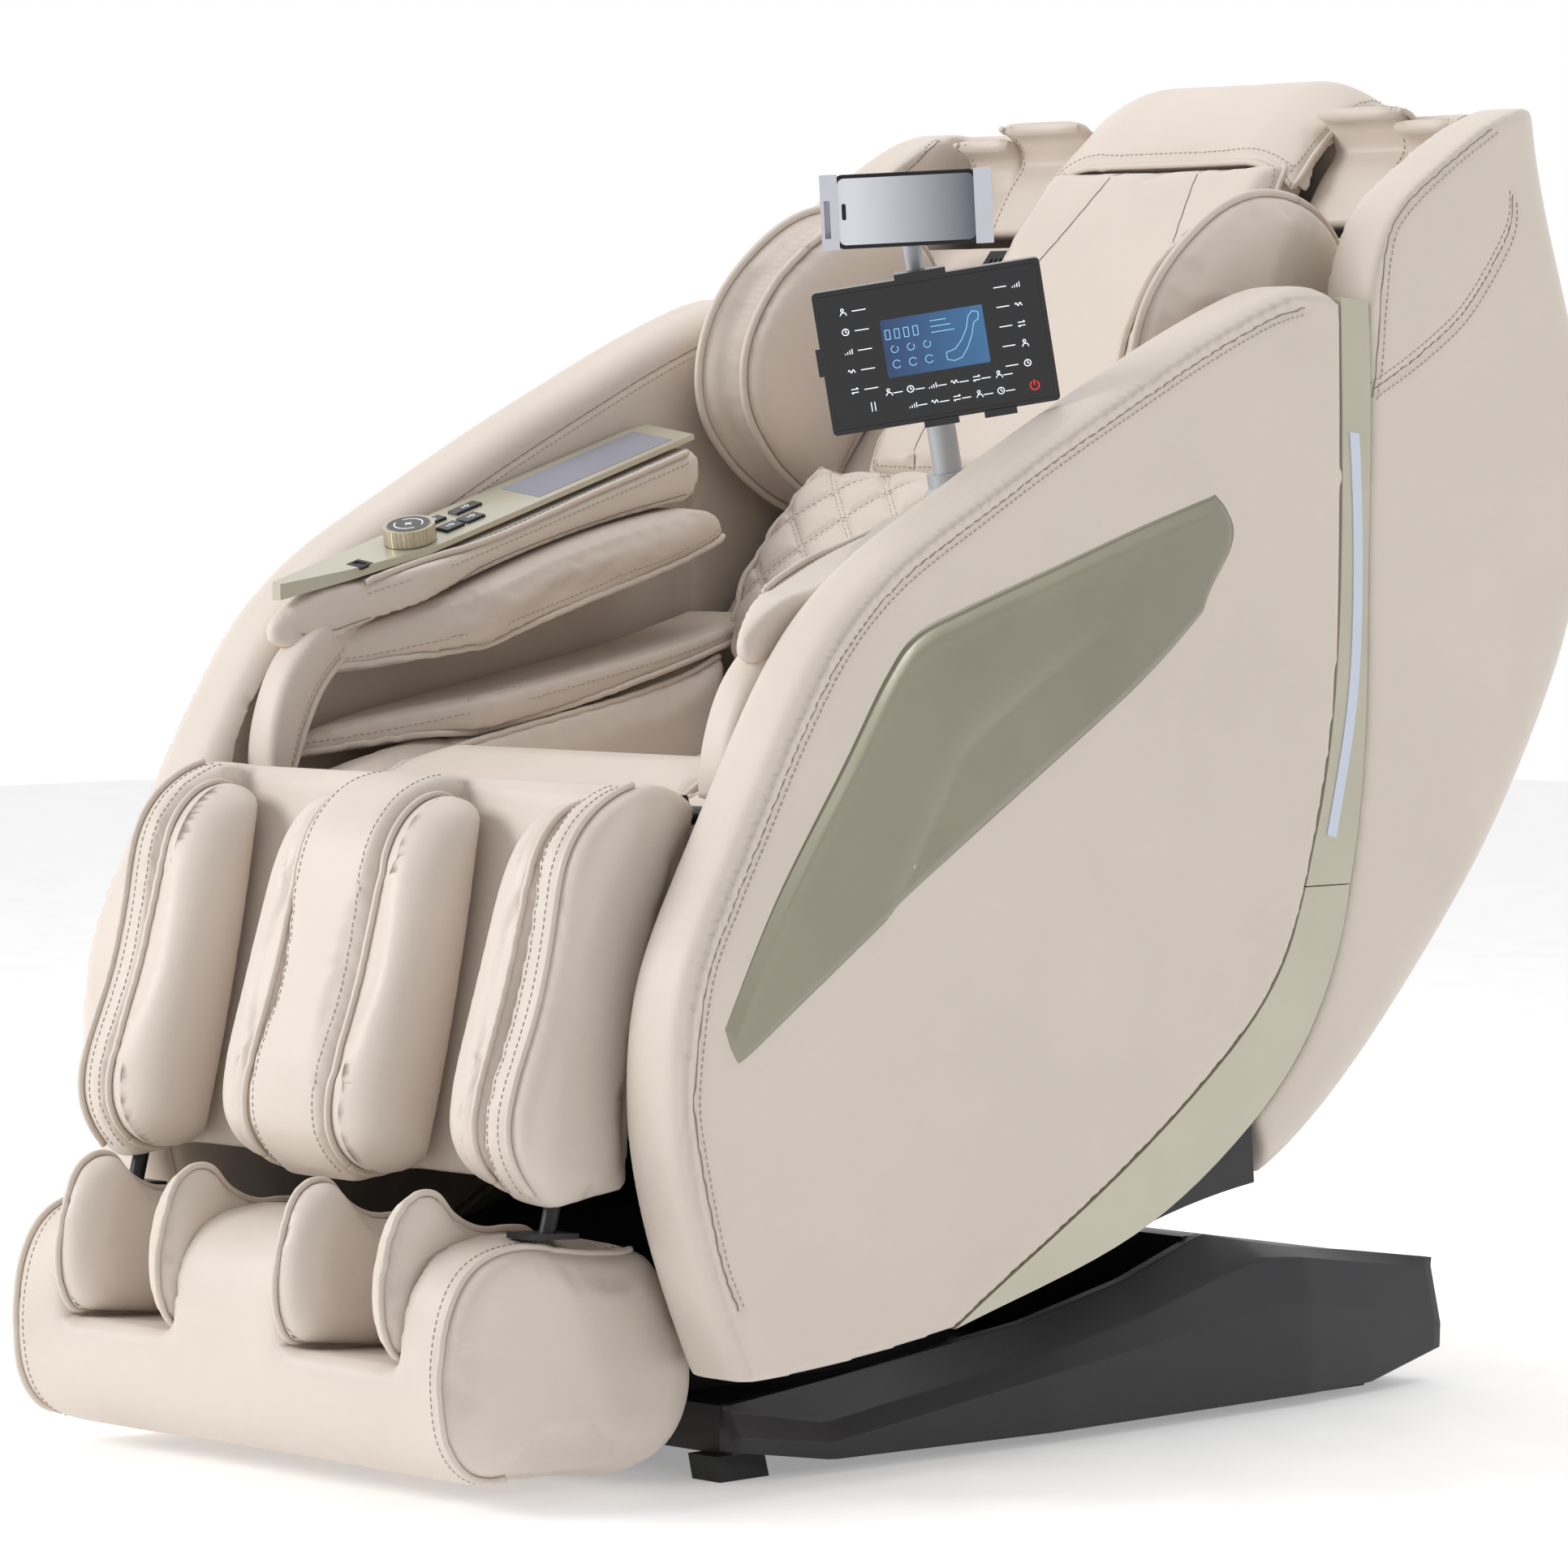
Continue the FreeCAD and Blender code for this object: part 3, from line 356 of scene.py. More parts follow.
def line_distance(spots, line):
    """Distance from each spot to a run of straight spans, in two or three dimensions."""
    best = np.full(len(spots), 1e9)
    for a, b in zip(line[:-1], line[1:]):
        span = b - a
        t = np.clip(((spots - a) @ span) / max(span @ span, 1e-9), 0, 1)
        best = np.minimum(best, np.linalg.norm(spots - a - t[:, None] * span, axis=1))
    return best


def path_distance(points, path):
    """Distance from each point to a path, worked out only for points near it."""
    best = np.full(len(points), 1e9)
    line = np.array([tuple(p) for p in path])
    low = line.min(0) - 0.05
    high = line.max(0) + 0.05
    near = np.all((points > low) & (points < high), axis=1)
    best[near] = line_distance(points[near], line)
    return best


def groove(obj, paths, width, depth):
    """Presses a seam into a surface along paths; a negative depth raises a roll."""
    points = coordinates(obj)
    distance = np.full(len(points), 1e9)
    for path in paths:
        distance = np.minimum(distance, path_distance(points, path))
    push = depth * np.exp(-(distance / width) ** 2)
    set_coordinates(obj, points - normals(obj) * push[:, None])


def surface_of(obj):
    points = [v.co.copy() for v in obj.data.vertices]
    return BVHTree.FromPolygons(points, [tuple(p.vertices) for p in obj.data.polygons])


def lay_on(tree, path, lift):
    """The path moved onto the surface, `lift` metres above it, with the normals there."""
    laid = []
    up = []
    for point in path:
        spot, normal, _, _ = tree.find_nearest(point)
        laid.append(spot + normal * lift)
        up.append(normal)
    return laid, up


def tubes(name, paths, radius, material, closed=False):
    """One object of round tubes along paths."""
    sides = 10
    points = []
    faces = []
    for path in paths:
        first = len(points)
        count = len(path)
        for i, spot in enumerate(path):
            ahead = path[(i + 1) % count] if closed or i < count - 1 else spot
            behind = path[i - 1] if closed or i > 0 else spot
            along = (ahead - behind).normalized()
            across = along.orthogonal() if i == 0 else side_of(across, along)
            across.normalize()
            over = along.cross(across)
            for k in range(sides):
                turn = 2 * math.pi * k / sides
                points.append(spot + (across * math.cos(turn) + over * math.sin(turn)) * radius)
        last = count if closed else count - 1
        for i in range(last):
            a = first + i * sides
            b = first + ((i + 1) % count) * sides
            for k in range(sides):
                j = (k + 1) % sides
                faces.append((a + k, a + j, b + j, b + k))
        if not closed:
            faces.append(tuple(first + k for k in reversed(range(sides))))
            faces.append(tuple(first + (count - 1) * sides + k for k in range(sides)))
    return mesh_object(name, points, faces, material)


def side_of(across, along):
    """The last across vector, turned no more than it has to be."""
    turned = across - along * across.dot(along)
    return turned if turned.length > 1e-6 else along.orthogonal()


def stitches(name, laid_paths, material, pitch=0.0062, length=0.0042, thick=0.00055):
    """Rows of separate thread stitches, each a small rounded lozenge on the surface."""
    points = []
    faces = []
    for path, ups in laid_paths:
        travelled = 0.0
        due = pitch / 2
        for i in range(len(path) - 1):
            span = path[i + 1] - path[i]
            run = span.length
            if run < 1e-9:
                continue
            along = span / run
            while due <= travelled + run:
                spot = path[i] + along * (due - travelled)
                add_stitch(points, faces, spot, along, ups[i], length, thick)
                due += pitch
            travelled += run
    return mesh_object(name, points, faces, material)


def add_stitch(points, faces, spot, along, up, length, thick):
    across = along.cross(up).normalized()
    first = len(points)
    ring = ((1, 0), (0, 1), (-1, 0), (0, -1))
    for reach, size in ((-0.5, 0.35), (-0.32, 1.0), (0.32, 1.0), (0.5, 0.35)):
        centre = spot + along * (length * reach) - up * (thick * (1 - size) * 0.8)
        for a, b in ring:
            points.append(centre + (across * a + up * b) * (thick * size))
    for r in range(3):
        for k in range(4):
            j = (k + 1) % 4
            base = first + r * 4
            faces.append((base + k, base + j, base + 4 + j, base + 4 + k))
    faces.append((first + 3, first + 2, first + 1, first))
    faces.append((first + 12, first + 13, first + 14, first + 15))


def dress(host, body, seams=(), piping=(), rows=(), pipe=0.003, depth=0.0026):
    """Sews a soft piece: pressed seams, each with a thin dark tube in it as painted seam shadow, piping that
    stands in a gutter, and rows of stitches."""
    outside = surface_of(host)
    laid = [lay_on(outside, path, pipe * 0.45)[0] for path in piping]
    if seams:
        groove(host, seams, 0.0042, depth)
    if piping:
        groove(host, piping, pipe * 2.0, pipe * 0.6)
    tree = surface_of(host)
    made = []
    if seams:
        # thin dark tubes along the seam grooves: painted shadow of the seam gaps
        seam_shadow_paths = [lay_on(tree, path, 0.0002)[0] for path in seams]
        made.append(tubes(host.name + "_painted_seam_shadow", seam_shadow_paths, SEAM_SHADOW_RADIUS, PAINTED_SEAM_SHADOW))
    if piping:
        made.append(tubes(host.name + "_piping", laid, pipe, PIPING))
    if rows:
        made.append(stitches(host.name + "_stitching", [lay_on(tree, path, 0.0004) for path in rows], THREAD))
    for extra in made:
        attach(extra, body)


def crown(obj, outline, anchors, reach, rim):
    """Thins slabs that lie across X towards their outline, so that each face is crowned.

    `anchors` gives, for a slab's span of |x|, the |x| that stays put; `rim` is the share of the
    thickness left at the outline and `reach` the distance over which it fills out."""
    points = coordinates(obj)
    line = np.array([(p.y, p.z) for p in outline])
    wide = np.abs(points[:, 0])
    for low, high, anchor in anchors:
        chosen = (wide > low) & (wide < high)
        inside = line_distance(points[chosen][:, 1:], line) / reach
        fill = rim + (1 - rim) * np.sqrt(1 - (1 - np.clip(inside, 0, 1)) ** 2)
        moved = anchor + (wide[chosen] - anchor) * fill
        points[chosen, 0] = np.sign(points[chosen, 0]) * moved
    set_coordinates(obj, points)


def finish_soft(obj, body, nodes):
    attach(obj, body)
    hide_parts(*nodes)


def face_loops(node, axis, side):
    """Outlines of a CAD node's flat faces that look along +/- an axis: smooth closed paths."""
    mesh = frame["nodes"][node].data
    work = bmesh.new()
    work.from_mesh(mesh)
    bmesh.ops.remove_doubles(work, verts=work.verts, dist=1e-5)
    facing = {f for f in work.faces if f.normal.dot(axis) * side > 0.999}
    edges = [e for e in work.edges if sum(f in facing for f in e.link_faces) == 1]
    loops = []
    left = set(edges)
    while left:
        edge = left.pop()
        start, tip = edge.verts
        loop = [start.co.copy(), tip.co.copy()]
        while True:
            ahead = next((e for e in tip.link_edges if e in left), None)
            if ahead is None:
                break
            left.discard(ahead)
            tip = ahead.other_vert(tip)
            loop.append(tip.co.copy())
        if (loop[0] - loop[-1]).length < 1e-6:
            loop.pop()
        loops.append(loop)
    work.free()
    return [resample(loop) for loop in loops if len(loop) > 3]


def resample(loop, step=0.005):
    """Even points round a closed loop, with its corners eased."""
    points = []
    count = len(loop)
    for i in range(count):
        a, b = loop[i], loop[(i + 1) % count]
        pieces = max(1, int((b - a).length / step))
        for k in range(pieces):
            points.append(a.lerp(b, k / pieces))
    count = len(points)
    for _ in range(6):
        points = [(points[i - 1] + points[i] * 2 + points[(i + 1) % count]) / 4 for i in range(count)]
    return points


def close_path(path):
    return path + path[:1]


def paint(material, *nodes):
    """Gives carried-over CAD nodes a finished material."""
    for node in nodes:
        obj = frame["nodes"][node]
        obj.data.materials.clear()
        obj.data.materials.append(material)


# ---- hard parts that keep their CAD shape -------------------------------------------------
def paint_hard_parts():
    paint(BASE, "base_pan")
    paint(RUBBER, "rubber_feet", "transport_wheels")
    paint(STEEL, "glide_rails", "seat_frame", "back_frame", "calf_frame", "foot_slide",
          "roller_arm_left", "roller_arm_right")
    paint(DARK, "air_and_control_units", "power_inlet", "power_switch", "massage_carriage",
          "glide_shoes", "underside_cover", "shell_tail", "usb_port", "speaker_grilles")
    paint(LAMP, "light_strips")
    paint(CHAMPAGNE, "pillar_trims", "left_arm_plate", "console_plate")
    paint(KNOB, "console_knob")
    paint(TRAY_PAD, "console_tray_pad")
    paint(GLOSS_BLACK, "screen_housing", "screen_glass")
    paint(ROLLER, "massage_roller_lower_left", "massage_roller_lower_right",
          "massage_roller_upper_left", "massage_roller_upper_right")
    paint(POLE, "pole_lower", "pole_upper", "pole_socket")
    paint(HOLDER, "phone_holder", "phone_jaw")
    paint(PHONE, "phone")
    for i in range(4):
        paint(GLOSS_BLACK, "console_button_" + str(i + 1))


# ---- base mouldings -----------------------------------------------------------------------
# y, floor z, lower crease z, upper crease z, top z, outward swell of the creases
SKIRT = [(-345, 28, 40, 62, 66, 0.92), (-240, 12, 26, 42, 76, 0.95), (10, 10, 60, 76, 103, 1.0),
         (135, 10, 74, 98, 128, 1.0), (237, 10, 88, 124, 160, 1.0), (290, 10, 96, 136, 150, 1.0),
         (345, 10, 94, 132, 140, 1.0), (440, 10, 76, 118, 128, 0.97), (552, 30, 52, 104, 112, 0.93)]


def skirt_section(row):
    y, low, crease1, crease2, high, swell = row
    out = 345 * swell
    corners = [(300, low), (out * 0.985 + 4, low), (out, crease1), (out - 12, crease2),
               (306 + 4 * swell, high), (300, high)]
    ring = []
    for i, (x, z) in enumerate(corners):
        before = corners[i - 1]
        after = corners[(i + 1) % len(corners)]
        for other, share in ((before, 0.94), (before, 0.985), (after, 0.985), (after, 0.94)):
            ring.append((share * x + (1 - share) * other[0], y, share * z + (1 - share) * other[1]))
    return ring


def build_skirts():
    rows = np.array(SKIRT, float)
    fine = np.linspace(-345, 552, 90)
    for name, side in SIDES:
        sections = []
        for y in fine:
            row = [np.interp(y, rows[:, 0], rows[:, k]) for k in range(6)]
            sections.append(skirt_section([y] + row[1:]))
        points = [place(side * x, y, z) for ring in sections for x, y, z in ring]
        count = len(sections[0])
        faces = []
        for i in range(len(sections) - 1):
            for k in range(count):
                j = (k + 1) % count
                quad = (i * count + k, i * count + j, (i + 1) * count + j, (i + 1) * count + k)
                faces.append(quad if side > 0 else quad[::-1])
        ends = (tuple(range(count)), tuple((len(sections) - 1) * count + k for k in range(count)))
        faces.append(ends[0][::-1] if side > 0 else ends[0])
        faces.append(ends[1] if side > 0 else ends[1][::-1])
        skirt = mesh_object("base_skirt_" + name, points, faces, BASE)
        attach(skirt, "base")
        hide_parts("base_skirts")


# ---- seat body ----------------------------------------------------------------------------
PANEL_EDGE = [(-424, 150), (-446, 198), (-472, 300), (-474, 352), (-459, 435), (-428, 498),
              (-391, 562), (-350, 632), (-300, 702), (-233, 760), (-137, 813), (-39, 864),
              (61, 912), (150, 953), (228, 984), (276, 996)]


# the insert's lower edge, upper edge and crease, from the front point to the rear end
INSERT_LOW = [(-424, 388), (-412, 362), (-398, 364), (-329, 408), (-139, 529), (60, 649), (150, 715)]
INSERT_HIGH = [(-424, 388), (-366, 490), (-290, 596), (-240, 668), (-205, 702), (-150, 722), (-41, 755),
               (60, 786), (163, 815)]


def inset(points, distance):
    """A side-view line moved to the right of its direction of travel."""
    moved = []
    for i, (y, z) in enumerate(points):
        before = points[max(i - 1, 0)]
        after = points[min(i + 1, len(points) - 1)]
        run = math.hypot(after[0] - before[0], after[1] - before[1])
        moved.append((y + distance * (after[1] - before[1]) / run,
                      z - distance * (after[0] - before[0]) / run))
    return moved


def inside_outline(points, outline):
    """Which points lie inside an outline in side view."""
    corners = [place(0, y, z) for y, z in outline]
    inside = np.zeros(len(points), bool)
    for a, b in zip(corners, corners[1:] + corners[:1]):
        if a.z == b.z:
            continue
        between = (points[:, 2] > min(a.z, b.z)) & (points[:, 2] <= max(a.z, b.z))
        cross = a.y + (points[:, 2] - a.z) / (b.z - a.z) * (b.y - a.y)
        inside ^= between & (points[:, 1] < cross)
    return inside


def build_side_panels():
    panels = soft_copy("side_panels", "side_panel_leather", CREAM, rounds=5)
    points = coordinates(panels)
    turned = normals(panels)
    face = (np.abs(points[:, 0]) > 0.3835) & (np.abs(turned[:, 0]) > 0.8)
    points[face, 0] = np.sign(points[face, 0]) * 0.3893
    outline = INSERT_LOW + INSERT_HIGH[::-1]
    line = np.array([(p.y, p.z) for p in side_view(0, outline + outline[:1])])
    bed = inside_outline(points, outline) & (line_distance(points[:, 1:], line) > 0.026)
    bed &= np.abs(points[:, 0]) > 0.380
    points[bed, 0] = np.sign(points[bed, 0]) * 0.3846
    set_coordinates(panels, points)
    seams = []
    rows = []
    for side in BOTH:
        seams.append(smooth_path(side_view(side * PANEL_FACE, inset(PANEL_EDGE, 19))))
        seams.append(smooth_path(side_view(side * 312, inset(PANEL_EDGE, 26))))
        rows.append(smooth_path(side_view(side * PANEL_FACE, inset(PANEL_EDGE, 24)), 0.003))
        rows.append(smooth_path(side_view(side * 311, inset(PANEL_EDGE[8:], 32)), 0.003))
    dress(panels, "seat", seams=seams, rows=rows)
    finish_soft(panels, "seat", ["side_panels"])


CREASE = [(19, 699), (-60, 655), (-132, 612), (-152, 596), (-168, 567), (-200, 520), (-226, 482)]


def even_points(points, count):
    """Points at even shares of a smooth line's length."""
    path = smooth_path([Vector((y, z, 0)) for y, z in points], 2.0)
    reach = np.cumsum([0.0] + [(b - a).length for a, b in zip(path, path[1:])])
    shares = np.linspace(0, reach[-1], count)
    ys = np.interp(shares, reach, [p.x for p in path])
    zs = np.interp(shares, reach, [p.y for p in path])
    return np.stack([ys, zs], axis=1)


def build_inserts():
    across = 34
    along = 150
    low = even_points(INSERT_LOW, along)
    high = even_points(INSERT_HIGH, along)
    crease = np.array(CREASE, float)
    grid = []
    for i in range(along):
        u = i / (along - 1)
        for k in range(across):
            v = k / (across - 1)
            spot = (1 - v) * low[i] + v * high[i]
            bulge = 30 * max(0.0, (u - 0.9) / 0.1) ** 2 * math.sin(math.pi * v ** 1.6)
            grid.append((spot[0] + bulge, spot[1], u, v))
    flat = np.array(grid)
    height = insert_height(flat, low, high, crease)
    for name, side in SIDES:
        points = [place(side * (386.6 + h), y, z) for (y, z, _, _), h in zip(grid, height)]
        faces = []
        for i in range(along - 1):
            for k in range(across - 1):
                a = i * across + k
                quad = (a, a + across, a + across + 1, a + 1)
                faces.append(quad if side > 0 else quad[::-1])
        piece = mesh_object("side_insert_" + name, points, faces, OLIVE)
        thick = piece.modifiers.new("thick", "SOLIDIFY")
        thick.thickness = 0.0018
        thick.offset = -1
        apply_modifiers(piece)
        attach(piece, "seat")
        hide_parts("side_inserts")


def insert_height(flat, low, high, crease):
    """Height of the insert's face: a chamfer all round, wide at the front and top, and a soft fold."""
    spots = flat[:, :2]
    top = line_distance(spots, high)
    end = line_distance(spots, flat[flat[:, 2] > 0.999][:, :2])
    narrow = np.clip(np.minimum(line_distance(spots, low), end) / 4.0, 0, 1)
    height = 2.9 + 2.4 * np.minimum(narrow, np.clip(top / 13.0, 0, 1)) - 0.5 * np.clip((top - 13) / 10, 0, 1)
    fold = line_distance(spots, crease)
    side = fold_side(spots, crease)
    reach = np.clip((flat[:, 2] - 0.2) / 0.2, 0, 1) * np.clip((0.86 - flat[:, 2]) / 0.25, 0, 1)
    below = np.exp(-fold / 26.0) * (side < 0) + np.exp(-fold / 9.0) * (side >= 0)
    return height - 2.2 * below * reach * np.clip(top / 30, 0, 1)


def fold_side(spots, line):
    """Negative below and behind the fold, positive above and before it."""
    best = np.full(len(spots), 1e9)
    side = np.zeros(len(spots))
    for a, b in zip(line[:-1], line[1:]):
        span = b - a
        share = np.clip(((spots - a) @ span) / (span @ span), 0, 1)
        gap = spots - a - share[:, None] * span
        size = np.linalg.norm(gap, axis=1)
        turn = span[0] * gap[:, 1] - span[1] * gap[:, 0]
        closer = size < best
        side[closer] = -turn[closer]
        best = np.minimum(best, size)
    return side


def build_seat_pads():
    seat = soft_copy("seat_cushion", "seat_cushion_leather", PAD_CREAM, rounds=10)
    hips = soft_copy("hip_pads", "hip_pad_leather", PAD_CREAM, rounds=8)
    inflate([seat, hips], 0.006)
    front = [side_view(x, [(-300, 556), (-262, 580), (-215, 587)]) for x in (-196, 196)]
    cross = [[place(x, -290, 566) for x in range(-195, 200, 10)]]
    row = [[place(x, -296, 560) for x in range(-195, 196, 5)]]
    dress(seat, "seat", seams=cross, piping=front, rows=row)
    top = [(-316, 556), (-200, 590), (-60, 618), (80, 645), (140, 662)]
    seams = []
    rows = []
    for side in BOTH:
        seams.append(smooth_path(side_view(side * 206, top)))
        rows.append(smooth_path(side_view(side * 213, top), 0.003))
    dress(hips, "seat", piping=seams, rows=rows)
    finish_soft(seat, "seat", ["seat_cushion"])
    finish_soft(hips, "seat", ["hip_pads"])


def tapered(side, points, further, step=0.006):
    """A line along an armrest's inner edge, which moves outwards towards the front."""
    return smooth_path([place(side * (max(226, 215 - (180 + y) * 0.567) + further), y, z)
                        for y, z in points], step)


def build_armrests():
    arms = soft_copy("armrests", "armrest_leather", CREAM, voxel=0.0045, rounds=4)
    line = [(-300, 716), (-250, 736), (-140, 771), (0, 815), (118, 852)]
    low = [(-300, 690), (-262, 698), (-137, 747), (0, 785), (116, 812)]
    piping = []
    rows = []
    for side in BOTH:
        piping.append(tapered(side, line[1:], 0))
        rows.append(tapered(side, [(y, z - 11) for y, z in line[1:]], 0, 0.003))
        rows.append(tapered(side, line[1:], 8, 0.003))
    seams = [tapered(side, low, 0) for side in BOTH]
    dress(arms, "seat", seams=seams, piping=piping, rows=rows, pipe=0.003)
    finish_soft(arms, "seat", ["armrests"])


def flap_line(side, points, step=0.006):
    """A line along a flap's inner edge, which moves outwards towards the front."""
    return smooth_path([place(side * max(202, 190 - (130 + y) * 0.58), y, z) for y, z in points], step)


def roll(name, line, x0, x1, thick, material):
    """A long padded roll across X from x0 to x1, with its middle along a side-view line."""
    path = smooth_path(side_view(0, line), 0.006)
    middle = (x0 + x1) / 2 * MM
    half = abs(x1 - x0) / 2 * MM
    around = 28
    points = []
    faces = []
    for i, spot in enumerate(path):
        along = (path[min(i + 1, len(path) - 1)] - path[max(i - 1, 0)]).normalized()
        normal = Vector((0, -along.z, along.y))
        share = i / (len(path) - 1)
        full = math.sqrt(math.sin(math.pi * min(max(share, 0.02), 0.98))) ** 0.5
        for k in range(around):
            turn = 2 * math.pi * k / around
            a, b = math.cos(turn), math.sin(turn)
            wide = math.copysign(abs(a) ** 0.55, a) * half
            tall = math.copysign(abs(b) ** 0.55, b) * thick * MM / 2 * full
            points.append(spot + Vector((middle + wide, 0, 0)) + normal * tall)
    for i in range(len(path) - 1):
        for k in range(around):
            j = (k + 1) % around
            a = i * around
            quad = (a + k, a + j, a + around + j, a + around + k)
            faces.append(quad)
    last = (len(path) - 1) * around
    faces.append(tuple(range(around))[::-1])
    faces.append(tuple(last + k for k in range(around)))
    made = mesh_object(name, points, faces, material)
    work = bmesh.new()
    work.from_mesh(made.data)
    bmesh.ops.recalc_face_normals(work, faces=work.faces)
    work.to_mesh(made.data)
    work.free()
    return made


def build_arches():
    """The padded front of each arm channel, which carries the armrest's edge down to the seat."""
    line = [(-216, 712), (-262, 690), (-300, 655), (-322, 612), (-334, 566)]
    for name, side in SIDES:
        arch = roll("arm_arch_" + name, line, side * 270, side * 311, 44, CREAM)
        welt = [(y + 15, z - 15) for y, z in line]
        row = [(y + 8, z - 8) for y, z in line]
        dress(arch, "seat", piping=[smooth_path(side_view(side * 270, welt))],
              rows=[smooth_path(side_view(side * 269, row), 0.003)])
        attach(arch, "seat")


def build_flaps():
    """The airbag pads in the arm channels: thick leaves with piped edges."""
    for name, side in SIDES:
        flap = soft_copy("arm_flap_upper_" + name, "arm_flap_leather_" + name, PAD_CREAM,
                         voxel=0.0045, rounds=6)
        inflate([flap], 0.004)
        edge = [(-300, 652), (-232, 663), (-56, 707), (100, 753), (142, 773)]
        low = [(-290, 664), (-225, 674), (-56, 718), (100, 764), (134, 780)]
        body = "flap_" + name
        dress(flap, body, piping=[flap_line(side, edge)], rows=[flap_line(side, low, 0.003)])
        finish_soft(flap, body, ["arm_flap_upper_" + name])
    lower = soft_copy("arm_pads_lower", "arm_pad_lower_leather", PAD_CREAM,
                      voxel=0.0045, rounds=6)
    inflate([lower], 0.003)
    edge = [(-312, 580), (-200, 598), (80, 653), (186, 687)]
    low = [(-300, 592), (-200, 610), (80, 664), (180, 695)]
    piping = [flap_line(side, edge) for side in BOTH]
    rows = [flap_line(side, low, 0.003) for side in BOTH]
    dress(lower, "seat", piping=piping, rows=rows)
    finish_soft(lower, "seat", ["arm_pads_lower"])


# ---- back ---------------------------------------------------------------------------------
def build_shell():
    shell = soft_copy("back_shell", "back_shell_leather", CREAM, rounds=5)
    outer = [(366, 905), (372, 927), (374, 949), (385, 1035), (407, 1071), (470, 1114), (530, 1147)]
    inner = [(399, 1022), (415, 1058), (438, 1081), (527, 1134), (560, 1166)]
    diagonal = [(566, 1084), (559, 1048), (502, 981), (440, 940), (374, 907)]
    seams = []
    rows = []
    for side in BOTH:
        seams.append(smooth_path(side_view(side * SHELL_FACE, [(y + 6, z - 4) for y, z in outer])))
        seams.append(smooth_path(side_view(side * SHELL_FACE, diagonal)))
        rows.append(smooth_path(side_view(side * SHELL_FACE, [(y + 12, z - 8) for y, z in outer]), 0.003))
        rows.append(smooth_path(side_view(side * SHELL_FACE, [(y + 5, z - 6) for y, z in diagonal]), 0.003))
        rows.append(smooth_path(side_view(side * SHELL_FACE, [(y - 5, z + 5) for y, z in diagonal]), 0.003))
        rows.append(smooth_path(side_view(side * 336, inner), 0.003))
        seams.append(smooth_path(side_view(side * 331, inner)))
    middle = [(618, 1146), (648, 1040), (676, 960), (694, 870), (692, 770), (672, 690), (624, 595),
              (555, 493), (454, 380), (343, 277)]
    for x in (-180, 180):
        seams.append(smooth_path(side_view(x, middle)))
        rows.append(smooth_path(side_view(x + 6, middle), 0.003))
        rows.append(smooth_path(side_view(x - 6, middle), 0.003))
    dress(shell, "back", seams=seams, rows=rows)
    finish_soft(shell, "back", ["back_shell"])


LUMBAR_FRONT = [(262, 838), (222, 806), (188, 768), (160, 726), (148, 696), (144, 668), (150, 646)]
QUILT_CELL = 0.048
QUILT_LEAN = math.radians(50)


def quilt(obj):
    """Presses a diamond quilting with double seams into the lumbar pad's face."""
    points = coordinates(obj)
    turned = normals(obj)
    face = np.clip((turned[:, 2] * 0.5 - turned[:, 1] * 0.8 - 0.3) / 0.4, 0, 1)
    along = points[:, 1] * math.cos(QUILT_LEAN) + points[:, 2] * math.sin(QUILT_LEAN)
    gap = np.full(len(points), 1.0)
    for turn in (1, -1):
        place_in_row = (points[:, 0] + turn * along) / math.sqrt(2) / QUILT_CELL
        gap = np.minimum(gap, np.abs((place_in_row + 0.5) % 1 - 0.5) * QUILT_CELL)
    puff = 0.0045 * np.sin(np.clip(gap / QUILT_CELL * 2, 0, 1) * math.pi / 2)
    seam = 0.0022 * np.exp(-((gap - 0.0025) / 0.0022) ** 2)
    set_coordinates(obj, points + turned * ((puff - seam) * face)[:, None])


def quilt_rows():
    """The quilting's stitch lines, in pairs, over the lumbar pad's face."""
    front = side_view(0, LUMBAR_FRONT)
    reach = [p.y * math.cos(QUILT_LEAN) + p.z * math.sin(QUILT_LEAN) for p in front]
    front = [p for _, p in sorted(zip(reach, front))]
    reach.sort()
    ys = [p.y for p in front]
    zs = [p.z for p in front]
    rows = []
    for turn in (1, -1):
        for k in range(-16, 40):
            for offset in (-0.0025, 0.0025):
                line = []
                for x in np.arange(-0.186, 0.187, 0.004):
                    along = turn * ((k * QUILT_CELL + offset) * math.sqrt(2) - x)
                    if reach[0] < along < reach[-1]:
                        line.append(Vector((x, np.interp(along, reach, ys), np.interp(along, reach, zs))))
                if len(line) > 3:
                    rows.append(line)
    return rows


def pillow_drop(wide):
    """How far the head pillow sags below its CAD shape, at |x| in millimetres."""
    share = np.clip((wide - 92) / 68, 0, 1)
    return 5 + 26 * share * share


def drape(x, y, z):
    return place(x, y, z - float(pillow_drop(abs(x))))


def leaf_pads():
    """The four shoulder pads: leaves that are thin at their piped rims and full in the middle."""
    pads = soft_copy("shoulder_pads", "shoulder_pad_leather", PAD_CREAM, rounds=4)
    welts = []
    loops = face_loops("shoulder_pads", Vector((1, 0, 0)), 1)
    for low, high in ((0.226, 0.256), (0.261, 0.291)):
        middle = (low + high) / 2
        loop = next(line for line in loops if low - 0.002 < abs(line[0].x) < high + 0.002)
        loop = close_path(loop)
        crown(pads, loop, [(low - 0.002, high + 0.002, middle)], 0.05, 0.25)
        for side in (-1, 1):
            welts.append([Vector((side * middle, p.y, p.z)) for p in loop])
    return pads, welts


